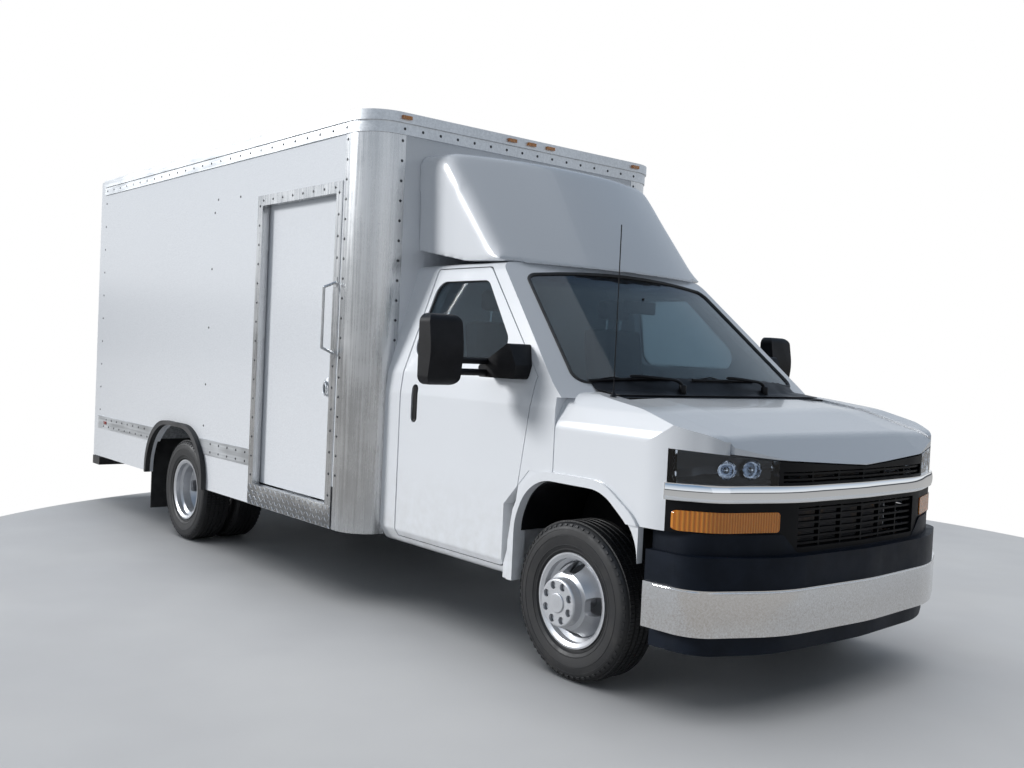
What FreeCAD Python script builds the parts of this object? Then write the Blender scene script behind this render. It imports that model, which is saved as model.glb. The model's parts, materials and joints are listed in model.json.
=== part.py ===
import FreeCAD, Part
import math
import os

# Box truck on a cutaway van chassis, in millimetres.
# +X is forward, +Y is the left side and +Z is up. The origin is on the ground under the middle of the whole truck.

# Driving dimensions
overall_length = 7230.0
front_overhang = 950.0
wheelbase = 4039.0
axle_x = overall_length / 2 - front_overhang

# Tyres and wheels
tyre_radius = 372.0
tyre_half_width = 111.0
tyre_shoulder_half = 88.0
tyre_bulge_radius = 292.0
tyre_bead_half = 84.0
rim_flange_radius = 222.0
rim_seat_radius = 205.0
rim_well_radius = 186.0
rim_wall = 8.0
rim_half_width = 95.0
rim_flange_thick = 9.0
rim_seat_inner = 56.0
rim_well_half = 42.0
bead_gap = 0.3
disc_root = 24.0
disc_shoulder_radius = 118.0
disc_thick = 9.0
disc_bevel = 16.0
hand_hole_radius = 150.0
hand_hole_half_length = 20.0
hand_hole_round = 24.0
hand_hole_count = 4
lug_circle_radius = 82.5
lug_count = 8
lug_radius = 13.0
lug_height = 24.0
hub_radius = 58.0
front_cap_reach = 56.0
cap_round = 12.0
cap_radius = 113.0
cap_boss_radius = 46.0
cap_step = 7.0
cap_hole_radius = 18.0
cap_hole_depth = 34.0
front_track_half = 874.0
dual_half_spacing = 131.0
disc_offset = dual_half_spacing
rear_track_half = 934.0
spindle_radius = 30.0
spindle_fit = 0.05
hub_end_wall = 14.0
spindle_end_gap = 6.0
rotor_radius = 158.0
rotor_thick = 28.0
rotor_inset = 60.0
rear_hub_reach = 96.0
overrun = 20.0

# Steering knuckles
kingpin_y = 768.0
upright_half_width = 48.0
upright_thick = 50.0
upright_outer_gap = 5.0
upright_half_height = 150.0
ball_stud_radius = 12.0
ball_stud_fit = 0.05
ball_stud_depth = 30.0
arm_thick = 30.0
arm_gap = 6.0
arm_end_half = 15.0
steer_arm_length = 130.0
steer_arm_half = 16.0
stub_radius = 46.0
stub_length = 30.0

# Ladder frame and running gear
rail_centre_y = 400.0
rail_width = 66.0
rail_bottom = 545.0
rail_top = 700.0
rail_front = 822.5
rail_wall = 8.0
cross_tube_radius = 42.0
cross_tube_x = (633.0, -1216.0, -2312.0, -3271.0, -5188.0, -5942.0)
crossmember_half = 90.0
crossmember_bottom = 300.0
arm_root_y = 470.0
arm_root_half = 110.0
axle_tube_radius = 46.0
diff_radius = 150.0
diff_half_width = 120.0
spring_y = 470.0
spring_half_width = 32.0
spring_half_length = 680.0
spring_thick = 42.0
spring_rise = 92.0
hanger_half = 34.0
engine_rear = -140.0
engine_front = 470.0
engine_half_width = 270.0
engine_bottom = 420.0
engine_top = 900.0
gearbox_length = 720.0
gearbox_radius = 150.0
gearbox_z = 545.0
shaft_radius = 42.0
joint_radius = 56.0
radiator_x = 780.0
hood_stop_radius = 12.0
hood_stop_y = 300.0
radiator_thick = 60.0
radiator_half = 350.0
radiator_bottom = 480.0
radiator_top = 1040.0
tank_front = -2050.0
tank_rear = -3060.0
tank_inner_y = 460.0
tank_outer_y = 860.0
tank_bottom = 400.0
tank_top = 655.0
tank_round = 60.0
strap_half = 22.0
muffler_front = -1860.0
muffler_length = 620.0
muffler_radius = 105.0
exhaust_y = -215.0
exhaust_z = 420.0
exhaust_radius = 32.0
exhaust_bend = 150.0

# Cab body, measured from the front axle
box_front = -1590.0
cab_wall = 42.0
sill_bottom = 395.0
sill_front = -478.0
toe_low = 760.0
toe_x = -300.0
toe_high = 945.0
cowl_front = -130.0
cowl_top = 1310.0
roof_front = -830.0
roof_rear_z = 2045.0
side_half = 1003.0
sill_step = 53.0
belt_step = 13.0
roof_step = 203.0
sill_half = side_half - sill_step
side_low_z = 480.0
belt_z = 1372.0
belt_half = side_half - belt_step
roof_edge_half = side_half - roof_step
roof_edge_z = 1990.0
roof_round = 70.0
belt_round = 120.0
sill_round = 60.0
tunnel_half = 700.0
tunnel_top = rail_top
screen_radius = 4500.0
cowl_nose = 60.0
roof_crown_round = 2400.0
screen_dip = 70.0
screen_dip_round = 2400.0
screen_base_x = -65.0
screen_base_z = 1430.0
screen_top_x = -733.0
screen_top_z = 2010.0
screen_thick = 6.0
screen_low_step = 131.0
screen_high_step = 291.0
screen_low_half = side_half - screen_low_step
screen_high_half = side_half - screen_high_step
screen_low_share = 0.02
screen_high_share = 0.93
screen_round = 70.0
screen_depth = 260.0
screen_inset = 3.0
glass_gap = 0.3

# Cab doors
door_front = -290.0
door_rear = -1430.0
door_gap = 6.0
door_rear_gap = 11.0
door_thick = 74.0
door_bottom = 446.0
door_low_front = -476.0
door_foot_front = -425.0
door_foot_z = 600.0
door_depth = 273.0
door_reach_in = side_half - door_depth
door_top_z = 1962.0
door_top_front = -900.0
door_screen_z = 1400.0
door_rear_slant = 0.30
door_corner = 60.0
window_low = 1462.0
window_high = 1892.0
window_front_low = -470.0
window_front_high = -890.0
window_rear = -1395.0
window_rear_high = -1340.0
window_round = 85.0
window_inset = 14.0
window_glass_thick = 5.0
pocket_low = 500.0
handle_x = -1295.0
handle_low = 1098.0
handle_high = 1310.0
handle_half = 30.0
handle_depth = 16.0

# Door mirrors
mirror_x = -600.0
mirror_stand = 332.0
mirror_y = side_half + mirror_stand
mirror_z = 1510.0
mirror_width = 196.0
mirror_height = 345.0
mirror_depth = 108.0
mirror_round = 45.0
mirror_glass_set = 12.0
mirror_rim = 14.0
mirror_arm_half = 17.0
mirror_arm_drop = 55.0
mirror_arm_low_z = 1405.0
mirror_arm_high_z = 1462.0
mirror_base_rear = -640.0
mirror_base_front = -352.0
mirror_base_thick = 70.0
mirror_base_top = 1560.0
mirror_base_bottom = 1382.0

# Nose: fenders, hood and front end
nose_step = 3.0
nose_side_half = side_half - nose_step
nose_taper_x = 560.0
nose_corner_x = 748.0
nose_corner_step = 145.0
nose_corner_y = nose_side_half - nose_corner_step
nose_front_y = 500.0
nose_front_x = 870.0
nose_centre_x = 892.0
nose_side_round = 330.0
nose_corner_round = 220.0
nose_front_round = 800.0
nose_bottom = 560.0
hood_rear_z = 1356.0
hood_mid_x = 380.0
hood_mid_z = 1290.0
hood_crest_x = 720.0
hood_crest_z = 1198.0
hood_lip_z = 1078.0
hood_mid_round = 700.0
hood_crest_round = 160.0
shoulder_z = 1180.0
shoulder_step = 73.0
shoulder_half = side_half - shoulder_step
shoulder_top = 1330.0
shoulder_round = 120.0
crown_z = 1372.0
nose_wall = 34.0
hood_step = 203.0
hood_half = side_half - hood_step
hood_gap = 6.0
hood_rear = 118.0
hood_thick = 30.0
hood_crease_y = 520.0
hood_fall_y = 560.0
hood_fall = 16.0
arch_rear = -380.0
arch_front = 430.0
arch_top = 915.0
arch_shoulder_rear = -285.0
arch_shoulder_front = 210.0
arch_mid_rear_z = 690.0
arch_mid_front_z = 745.0
arch_round = 240.0
arch_lip = 42.0
arch_lip_proud = 14.0
arch_lip_depth = 60.0
liner_inner_y = 555.0
liner_wall = 6.0
liner_bottom = 640.0
face_low_centre = 706.0
face_low_outer = 790.0
face_step_inner = 470.0
face_step_outer = 560.0
face_step_round = 40.0
face_top_centre = 1066.0
face_top_inner = 1100.0
face_top_outer = 1143.0
screen_foot_x = -150.0
face_depth = 90.0
chrome_low = 925.0
chrome_high = 997.0
chrome_proud = 14.0
lamp_inner_y = 585.0
lamp_side_x = 560.0
lamp_round = 30.0
amber_low = 798.0
amber_high = 884.0
amber_inner_y = 575.0
amber_outer_y = 970.0
lamp_depth = 60.0
lamp_proud = 5.0
bezel_bar = 22.0
grille_low_half = 470.0
grille_slat = 9.0
grille_pitch = 30.0
grille_depth = 50.0
grille_upright_shares = (-2 / 3, -1 / 3, 0, 1 / 3, 2 / 3)

# Front bumper
bumper_front = front_overhang
bumper_mid_x = 912.0
bumper_mid_y = 600.0
bumper_corner_x = 730.0
bumper_corner_step = 20.0
bumper_corner_y = nose_side_half - bumper_corner_step
bumper_end_x = 470.0
bumper_end_y = nose_side_half
bumper_corner_round = 180.0
bumper_mid_round = 700.0
bumper_wall = 12.0
pad_slope_z = 700.0
pad_bottom = 565.0
pad_inset = 10.0
pad_slope = 42.0
bar_bottom = 370.0
valance_bottom = 280.0
valance_inset = 55.0
valance_wall = 8.0

# Cowl, wipers and antenna
cowl_thick = 24.0
antenna_x = 96.0
antenna_step = 153.0
antenna_y = antenna_step - side_half
antenna_top = 2120.0
antenna_radius = 2.6
antenna_foot_radius = 17.0
antenna_foot_height = 22.0

# Cab interior
dash_front = -120.0
dash_rear = -430.0
dash_top = 1300.0
dash_low = 1010.0
dash_round = 70.0
dash_step = 283.0
dash_half = side_half - dash_step
seat_y = 470.0
seat_half_width = 245.0
seat_front = -690.0
seat_rear = -1180.0
seat_base_top = 980.0
seat_cushion_thick = 130.0
seat_back_top = 1700.0
seat_back_thick = 120.0
seat_back_lean = 130.0
seat_round = 45.0
head_half = 125.0
head_top = 1870.0
head_thick = 90.0
head_post_radius = 7.0
seat_box_half = 180.0
column_y = 450.0
column_radius = 32.0
wheel_x = -560.0
wheel_z = 1245.0
wheel_tilt_deg = 32.0
wheel_ring_radius = 190.0
wheel_grip_radius = 15.0
grip_sides = 8
wheel_hub_radius = 58.0
wheel_hub_thick = 38.0
wheel_spoke_half = 17.0
wheel_gap = 0.3

# Fairing over the cab
fairing_half_low = 815.0
fairing_half_high = 830.0
fairing_top_z = 2640.0
fairing_ridge_x = -1185.0
fairing_low_x = -650.0
fairing_low_z = 1990.0
fairing_side_low_z = 2084.0
fairing_side_front_x = -1150.0
fairing_side_front_z = 2008.0
fairing_side_low_x = -1370.0
fairing_wall = 8.0
fairing_round = 70.0
fairing_bow = 2600.0

# Cargo box, measured from the front axle
box_rear = -6078.0
box_half = 1180.0
box_top = 2860.0
box_wall = 46.0
roof_thick = 34.0
roof_set = 3.0
corner_radius = 200.0
floor_top = 790.0
floor_thick = 40.0
sill_count = 14
sill_width = 50.0
skirt_bottom = 425.0
rub_low = 675.0
rub_high = 785.0
rub_proud = 5.0
skirt_wall = 26.0
top_rail_low = 2735.0
top_rail_proud = 9.0
top_rail_step = 66.0
top_rail_upper_proud = 18.0
post_flange = 46.0
post_flange_thick = 3.0
rear_post_width = 96.0
rear_post_depth = 110.0
rear_header_height = 190.0
rear_sill_height = 120.0
roll_slat_count = 8
roll_slat_gap = 3.0
roll_slat_thick = 30.0
roll_slat_inset = 36.0
roll_track = 14.0
latch_half = 110.0
latch_height = 60.0
latch_depth = 20.0

# Sliding side door
opening_front = -1922.0
opening_rear = -2878.0
opening_low = 560.0
opening_high = 2400.0
frame_band = 68.0
frame_proud = 5.0
frame_lip = 4.0
door_slide = 720.0
slide_door_thick = 32.0
slide_door_gap = 9.0
slide_door_lap = 36.0
slide_track_height = 40.0
slide_track_wall = 4.0
slide_pocket = 50.0
hanger_length = 90.0
hanger_inset = 130.0
slide_roller_gap = 6.0
door_trim = 74.0
door_trim_proud = 3.0
step_depth = 250.0
step_thick = 6.0
grab_low = 1455.0
grab_high = 1875.0
grab_reach = 78.0
grab_radius = 8.0
grab_bend = 34.0
grab_foot = 30.0
latch_z = 1254.0
latch_rod = 6.0
latch_plate = 48.0

# Rear wheel arches of the box
arch_trail = 146.0
rear_arch_x = -wheelbase - arch_trail
rear_arch_half = 530.0
rear_arch_top = 836.0
rear_arch_round = 400.0
flare_width = 30.0
flare_proud = 38.0
wheel_box_inner_y = 655.0
wheel_box_wall = 5.0
flap_trail = 615.0
flap_x = rear_arch_x - flap_trail
flap_bottom = 120.0
flap_thick = 10.0
flap_inner_y = 720.0
flap_outer_y = 1130.0

# Rear bumper and lamps
step_bumper_rear = front_overhang - overall_length
step_bumper_half = 1120.0
step_bumper_low = 322.0
step_bumper_high = 397.0
step_bumper_deck = 175.0
step_bumper_wall = 6.0
bumper_arm_half = 30.0
tail_lamp_radius = 50.0
tail_lamp_depth = 22.0
tail_lamp_pitch = 130.0
tail_lamp_y = 880.0
marker_half = 32.0
marker_height = 20.0
marker_proud = 14.0
marker_pitch = 160.0
marker_corner_y = 985.0


def vec(x, y, z):
    return FreeCAD.Vector(x, y, z)


def at(x):
    """Turns a distance ahead of the front axle into a row place."""
    return axle_x + x


def block(x0, x1, y0, y1, z0, z1):
    low = vec(min(x0, x1), min(y0, y1), min(z0, z1))
    return Part.makeBox(abs(x1 - x0), abs(y1 - y0), abs(z1 - z0), low)


def fuse(shapes):
    first = shapes[0]
    return first if len(shapes) == 1 else first.fuse(shapes[1:]).removeSplitter()


def mirrored(shape):
    return shape.mirror(vec(0, 0, 0), vec(0, 1, 0))


def both_sides(shape):
    return Part.makeCompound([shape, mirrored(shape)])


def rounded_wire(corners, lift):
    """Closed outline through corners (a, b, radius), with a tangent arc at each corner that has a radius."""
    flat = [FreeCAD.Vector(a, b, 0) for a, b, r in corners]
    starts, ends, mids = [], [], []
    for i, (a, b, r) in enumerate(corners):
        here, before, after = flat[i], flat[i - 1], flat[(i + 1) % len(flat)]
        back, ahead = (before - here), (after - here)
        back.normalize()
        ahead.normalize()
        half = back.getAngle(ahead) / 2
        if r <= 0 or abs(half - math.pi / 2) < math.radians(0.05):
            starts.append(here)
            ends.append(here)
            mids.append(None)
            continue
        cut = r / math.tan(half)
        bisector = back + ahead
        bisector.normalize()
        centre = here + bisector * (r / math.sin(half))
        starts.append(here + back * cut)
        ends.append(here + ahead * cut)
        mids.append(centre - bisector * r)
    edges = []
    for i in range(len(flat)):
        if mids[i] is not None:
            edges.append(Part.Arc(lift(starts[i]), lift(mids[i]), lift(ends[i])).toShape())
        p, q = lift(ends[i]), lift(starts[(i + 1) % len(flat)])
        if p.distanceToPoint(q) > tolerance:
            edges.append(Part.makeLine(p, q))
    return Part.Wire(edges)


tolerance = 0.001


def side_prism(corners, y0, y1):
    """Outline of (x, z, radius) corners, carried from y0 to y1."""
    face = Part.Face(rounded_wire(corners, lambda p: vec(p.x, y0, p.y)))
    return face.extrude(vec(0, y1 - y0, 0))


def plan_prism(corners, z0, z1):
    """Outline of (x, y, radius) corners, carried from z0 to z1."""
    face = Part.Face(rounded_wire(corners, lambda p: vec(p.x, p.y, z0)))
    return face.extrude(vec(0, 0, z1 - z0))


def section_prism(corners, x0, x1):
    """Outline of (y, z, radius) corners, carried from x0 to x1."""
    face = Part.Face(rounded_wire(corners, lambda p: vec(x0, p.x, p.y)))
    return face.extrude(vec(x1 - x0, 0, 0))


def turned(corners, y_centre, z_centre, x):
    """Outline of (y, radius, round) corners, turned about a wheel's axle."""
    face = Part.Face(rounded_wire(corners, lambda p: vec(x, y_centre + p.x, z_centre + p.y)))
    return face.revolve(vec(x, y_centre, z_centre), vec(0, 1, 0), 360)


def rod(start, end, radius):
    run = end - start
    return Part.makeCylinder(radius, run.Length, start, run)


def cab_solid(inset):
    """Outer form of the cab, drawn in by inset on every face but the open back."""
    profile = [
        (at(box_front), sill_bottom + inset, 0),
        (at(sill_front) - inset, sill_bottom + inset, 0),
        (at(sill_front) - inset, toe_low, 0),
        (at(toe_x) - inset, toe_high + inset, 0),
        (at(cowl_front) - inset, toe_high + inset, 0),
        (at(cowl_front) - inset, cowl_top + inset, 0),
        (at(cowl_nose) - inset, cowl_top + inset, 0),
        (at(cowl_nose) - inset, screen_top_z, 0),
        (at(roof_front), roof_rear_z - inset, 0),
        (at(box_front), roof_rear_z - inset, 0),
    ]
    half = [
        (sill_half - inset, sill_bottom + inset, sill_round),
        (side_half - inset, side_low_z + inset / 2, sill_round / 2),
        (side_half - inset, belt_z - belt_round, belt_round),
        (belt_half - inset, belt_z, belt_round),
        (roof_edge_half - inset, roof_edge_z - inset / 2, roof_round),
        (0, roof_rear_z - inset, roof_crown_round),
    ]
    section = half + [(-y, z, r) for y, z, r in reversed(half[:-1])]
    body = side_prism(profile, -side_half, side_half)
    body = body.common(section_prism(section, at(box_front), at(cowl_nose) + screen_depth))
    return body.common(screen_cylinder(inset))


def screen_frame():
    """Base point, up the screen, and outward normal of the windshield's middle line."""
    base = vec(at(screen_base_x), 0, screen_base_z)
    up = vec(screen_top_x - screen_base_x, 0, screen_top_z - screen_base_z)
    length = up.Length
    up.normalize()
    return base, up, vec(up.z, 0, -up.x), length


def screen_cylinder(inset):
    base, up, normal, length = screen_frame()
    start = base - normal * screen_radius - up * (length * 2)
    return Part.makeCylinder(screen_radius - inset, length * 4, start, up)


def screen_prism(grow):
    """Outline of the windshield opening, through the screen's thickness."""
    base, up, normal, length = screen_frame()
    low, high = length * screen_low_share, length * screen_high_share
    corners = [
        (-screen_low_half - grow, low - grow, screen_round),
        (0, low - screen_dip - grow, screen_dip_round),
        (screen_low_half + grow, low - grow, screen_round),
        (screen_high_half + grow, high + grow, screen_round),
        (-screen_high_half - grow, high + grow, screen_round),
    ]
    origin = base - normal * screen_depth
    wire = rounded_wire(corners, lambda p: origin + up * p.y + vec(0, p.x, 0))
    return Part.Face(wire).extrude(normal * (screen_depth * 2))


def door_front_line(gap):
    """The door's leading edge from the sill up to the windshield pillar, moved forward by gap."""
    return [
        (at(door_low_front) + gap, door_bottom - gap, door_corner),
        (at(door_foot_front) + gap, door_foot_z, belt_round),
        (at(door_front) + gap, door_screen_z, 0),
    ]


def door_prism(front_gap, rear_gap, edge_gap):
    """Space of the right-hand cab door, out past the skin."""
    outline = door_front_line(front_gap) + [
        (at(door_top_front) + front_gap, door_top_z + edge_gap, door_corner),
        (at(door_rear) - door_thick, door_top_z + edge_gap, 0),
        (at(door_rear) - door_thick, door_bottom - edge_gap, 0),
    ]
    prism = side_prism(outline, -side_half - overrun, -door_reach_in)
    rear = at(door_rear) - rear_gap
    slant = (side_half - door_reach_in) * door_rear_slant
    plan = [
        (rear, -side_half, 0),
        (rear + slant, -door_reach_in, 0),
        (at(0), -door_reach_in, 0),
        (at(0), -side_half - overrun, 0),
        (rear, -side_half - overrun, 0),
    ]
    return prism.common(plan_prism(plan, sill_bottom - overrun, roof_rear_z))


def window_outline(grow):
    return [
        (at(window_front_low) + grow, window_low - grow, window_round),
        (at(window_front_high) + grow, window_high + grow, window_round),
        (at(window_rear_high) - grow, window_high + grow, window_round),
        (at(window_rear) - grow, window_low - grow, window_round),
    ]


def cab_shell():
    outer = cab_solid(0).cut(
        block(at(box_front) - overrun, at(0), -tunnel_half, tunnel_half, 0, tunnel_top)
    )
    floor_half, floor_z = tunnel_half + cab_wall, tunnel_top + cab_wall
    inner = cab_solid(cab_wall)
    inner = inner.cut(block(at(box_front) - overrun, at(0), -floor_half, floor_half, 0, floor_z))
    inner = inner.cut(
        block(at(box_front) - overrun, at(box_front) + cab_wall, -side_half, side_half, 0, floor_z)
    )
    shell = outer.cut(inner)
    opening = door_prism(door_gap, door_rear_gap, door_gap)
    shell = shell.cut(opening).cut(mirrored(opening)).cut(screen_prism(0))
    fender = right_fender()
    shell = shell.cut(fender).cut(mirrored(fender))
    return largest(shell)


def largest(shape):
    return max(shape.Solids, key=lambda solid: solid.Volume)


def windshield():
    glass = screen_cylinder(screen_inset).cut(screen_cylinder(screen_inset + screen_thick))
    return glass.common(screen_prism(-glass_gap))


def right_door():
    body = cab_solid(0).cut(cab_solid(door_thick))
    door = body.common(door_prism(0, 0, 0))
    door = door.cut(side_prism(window_outline(0), -side_half - overrun, -door_reach_in))
    pocket = cab_solid(window_inset * 2).cut(cab_solid(door_thick - window_inset))
    pocket = pocket.common(side_prism(pocket_outline(), -side_half, -door_reach_in))
    handle = side_prism(
        [
            (at(handle_x) - handle_half, handle_low, handle_half),
            (at(handle_x) + handle_half, handle_low, handle_half),
            (at(handle_x) + handle_half, handle_high, handle_half),
            (at(handle_x) - handle_half, handle_high, handle_half),
        ],
        -side_half - overrun,
        -side_half + handle_depth,
    )
    return largest(door.cut(pocket).cut(handle))


def pocket_outline():
    """Hollow between the door's skins, below the window."""
    return [
        (at(door_foot_front) - door_corner, belt_z, 0),
        (at(door_rear) + door_corner * 2, belt_z, 0),
        (at(door_rear) + door_corner * 2, pocket_low, 0),
        (at(door_low_front) - door_corner, pocket_low, 0),
    ]


def right_door_glass():
    pane = cab_solid(window_inset).cut(cab_solid(window_inset + window_glass_thick))
    pane = pane.common(side_prism(window_outline(-glass_gap), -side_half, -door_reach_in))
    return pane


def right_mirror():
    """Tall trailer-style mirror on two arms, with its base on the door's front corner."""
    head = section_prism(
        [
            (-mirror_y - mirror_width / 2, mirror_z - mirror_height / 2, mirror_round),
            (-mirror_y + mirror_width / 2, mirror_z - mirror_height / 2, mirror_round),
            (-mirror_y + mirror_width / 2, mirror_z + mirror_height / 2, mirror_round),
            (-mirror_y - mirror_width / 2, mirror_z + mirror_height / 2, mirror_round),
        ],
        at(mirror_x) - mirror_depth / 2,
        at(mirror_x) + mirror_depth / 2,
    )
    taper = side_prism(
        [
            (at(mirror_x) - mirror_depth / 2, mirror_z - mirror_height / 2, 0),
            (at(mirror_x) + mirror_depth / 4, mirror_z - mirror_height / 2, mirror_round),
            (at(mirror_x) + mirror_depth / 2, mirror_z, mirror_height),
            (at(mirror_x) + mirror_depth / 4, mirror_z + mirror_height / 2, mirror_round),
            (at(mirror_x) - mirror_depth / 2, mirror_z + mirror_height / 2, 0),
        ],
        -mirror_y - mirror_width,
        -mirror_y + mirror_width,
    )
    head = head.common(taper)
    glass_seat = block(
        at(mirror_x) - mirror_depth / 2 - overrun,
        at(mirror_x) - mirror_depth / 2 + mirror_glass_set,
        -mirror_y - mirror_width / 2 + mirror_rim,
        -mirror_y + mirror_width / 2 - mirror_rim,
        mirror_z - mirror_height / 2 + mirror_rim * 2,
        mirror_z + mirror_height / 2 - mirror_rim * 2,
    )
    head = head.cut(glass_seat)
    outline = [
        (at(mirror_base_front), mirror_base_bottom, mirror_arm_half),
        (at(mirror_base_front), mirror_base_top - mirror_arm_drop * 2, mirror_arm_half),
        (at(mirror_base_front) - mirror_arm_drop, mirror_base_top, mirror_arm_half),
        (at(mirror_base_rear), mirror_base_bottom + mirror_arm_drop, mirror_arm_half),
        (at(mirror_base_rear), mirror_base_bottom, mirror_arm_half),
    ]
    base = side_prism(outline, -side_half - mirror_base_thick, -belt_half + mirror_base_thick)
    base = base.cut(cab_solid(0))
    arms = []
    for z in (mirror_arm_low_z, mirror_arm_high_z):
        start = vec(at(mirror_x) + mirror_arm_half, -side_half - mirror_base_thick / 2, z)
        end = vec(at(mirror_x) + mirror_arm_half, -mirror_y + mirror_width / 4, z)
        arms.append(rod(start, end, mirror_arm_half))
    return fuse([head, base] + arms)


def nose_solid(inset, top_inset):
    """Outer form of the front end, drawn in by inset at the sides and front, and by top_inset above."""
    profile = [
        (at(sill_front), nose_bottom, 0),
        (at(nose_centre_x) + overrun, nose_bottom, 0),
        (at(nose_centre_x) + overrun, hood_lip_z - top_inset - face_depth, 0),
        (at(nose_front_x) + overrun - inset, hood_lip_z - top_inset, 0),
        (at(hood_crest_x) - top_inset / 2, hood_crest_z - top_inset, hood_crest_round),
        (at(hood_mid_x), hood_mid_z - top_inset, hood_mid_round),
        (at(cowl_front), hood_rear_z - top_inset, 0),
        (at(sill_front), hood_rear_z - top_inset, 0),
    ]
    half = [
        (nose_side_half - inset, nose_bottom, 0),
        (nose_side_half - inset, shoulder_z, shoulder_round),
        (shoulder_half - inset / 2, shoulder_top - top_inset, shoulder_round),
        (hood_crease_y, crown_z - top_inset, hood_mid_round),
    ]
    section = half + [(-y, z, r) for y, z, r in reversed(half)]
    body = side_prism(profile, -nose_side_half, nose_side_half)
    body = body.common(section_prism(section, at(sill_front), at(nose_centre_x) + overrun))
    return body.common(nose_plan_prism(inset, at(sill_front), nose_bottom, crown_z))


def nose_plan_prism(inset, rear, z0, z1):
    """Plan form of the front end, carried from z0 to z1."""
    half = [
        (rear, nose_side_half - inset, 0),
        (at(nose_taper_x), nose_side_half - inset, nose_side_round),
        (at(nose_corner_x) - inset / 2, nose_corner_y - inset, nose_corner_round),
        (at(nose_front_x) - inset, nose_front_y, nose_front_round),
        (at(nose_centre_x) - inset, 0, nose_front_round),
    ]
    plan = half + [(x, -y, r) for x, y, r in reversed(half[:-1])]
    return plan_prism(plan, z0, z1)


def hood_space(gap):
    """Column over the engine bay that the hood closes."""
    column = block(
        at(hood_rear) - gap,
        at(nose_centre_x) + overrun * 2,
        -hood_half - gap,
        hood_half + gap,
        hood_lip_z - face_depth,
        crown_z + overrun,
    )
    return column.cut(face_space(hood_gap - gap))


def hood_fall_space():
    """Space over the hood outboard of its right crease, which falls a little towards the fender."""
    above = [
        (at(cowl_front), crown_z + overrun, 0),
        (at(nose_front_x) + overrun, crown_z + overrun, 0),
        (at(nose_front_x) + overrun, hood_lip_z, 0),
        (at(hood_crest_x), hood_crest_z, hood_crest_round),
        (at(hood_mid_x), hood_mid_z, hood_mid_round),
        (at(cowl_front), hood_rear_z, 0),
    ]
    face = Part.Face(rounded_wire(above, lambda p: vec(p.x, -hood_fall_y, p.y)))
    return face.extrude(vec(0, hood_fall_y - nose_side_half, -hood_fall))


def hood():
    skin = nose_solid(0, 0).cut(nose_solid(hood_thick, hood_thick)).common(hood_space(0))
    fall = hood_fall_space()
    return skin.cut(fall).cut(mirrored(fall))


def arch_outline(grow):
    return [
        (at(arch_rear) - grow, sill_bottom - overrun, 0),
        (at(arch_rear) - grow, arch_mid_rear_z, arch_round),
        (at(arch_shoulder_rear), arch_top + grow, arch_round),
        (at(arch_shoulder_front), arch_top + grow, arch_round),
        (at(arch_front) + grow, arch_mid_front_z + grow, arch_round),
        (at(arch_front) + grow, sill_bottom - overrun, 0),
    ]


def right_fender():
    """Skin from the door to the lamps, with its rolled wheel-arch lip."""
    skin = nose_solid(0, 0).cut(nose_solid(nose_wall, nose_wall))
    skin = skin.cut(hood_space(hood_gap)).cut(face_space(0))
    keep = side_prism(
        door_front_line(door_gap)
        + [
            (at(screen_foot_x), crown_z + overrun, 0),
            (at(nose_corner_x), crown_z + overrun, 0),
            (at(nose_corner_x), face_low_outer, 0),
            (at(arch_front), face_low_outer, 0),
            (at(arch_front), nose_bottom, 0),
        ],
        -nose_side_half,
        -liner_inner_y,
    )
    skin = skin.common(keep)
    foot = side_prism(arch_outline(arch_lip * 2), -nose_side_half, -nose_side_half + nose_wall)
    foot = foot.common(
        side_prism(
            door_front_line(door_gap)
            + [
                (at(arch_shoulder_rear), door_screen_z, 0),
                (at(arch_shoulder_rear), sill_bottom, 0),
                (at(door_low_front) + door_gap, sill_bottom, 0),
            ],
            -nose_side_half,
            -liner_inner_y,
        )
    )
    lip = side_prism(
        arch_outline(arch_lip), -nose_side_half - arch_lip_proud, -nose_side_half + arch_lip_depth
    )
    lip = lip.common(
        side_prism(
            door_front_line(door_gap)
            + [
                (at(door_front), crown_z, 0),
                (at(arch_front) + arch_lip * 2, crown_z, 0),
                (at(arch_front) + arch_lip * 2, face_low_outer, 0),
                (at(arch_shoulder_front), face_low_outer, 0),
                (at(arch_shoulder_front), sill_bottom, 0),
                (at(door_low_front) + door_gap, sill_bottom, 0),
            ],
            -side_half * 2,
            -liner_inner_y,
        )
    )
    fender = fuse([skin, foot, lip]).cut(
        side_prism(arch_outline(0), -side_half * 2, -liner_inner_y + overrun)
    )
    fender = fender.cut(
        block(at(sill_front), at(nose_centre_x), -hood_half - hood_gap, 0, 0, crown_z + overrun)
    )
    return largest(fender)


def right_liner():
    """Black inner wheel arch, above the steered tyre."""
    outer = side_prism(arch_outline(-glass_gap), -nose_side_half + nose_wall, -liner_inner_y)
    inner = side_prism(
        arch_outline(-glass_gap - liner_wall), -nose_side_half, -liner_inner_y - liner_wall
    )
    liner = outer.cut(inner)
    return liner.cut(
        block(at(arch_rear) - overrun, at(arch_front) + overrun, -side_half, 0, 0, liner_bottom)
    )


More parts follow.
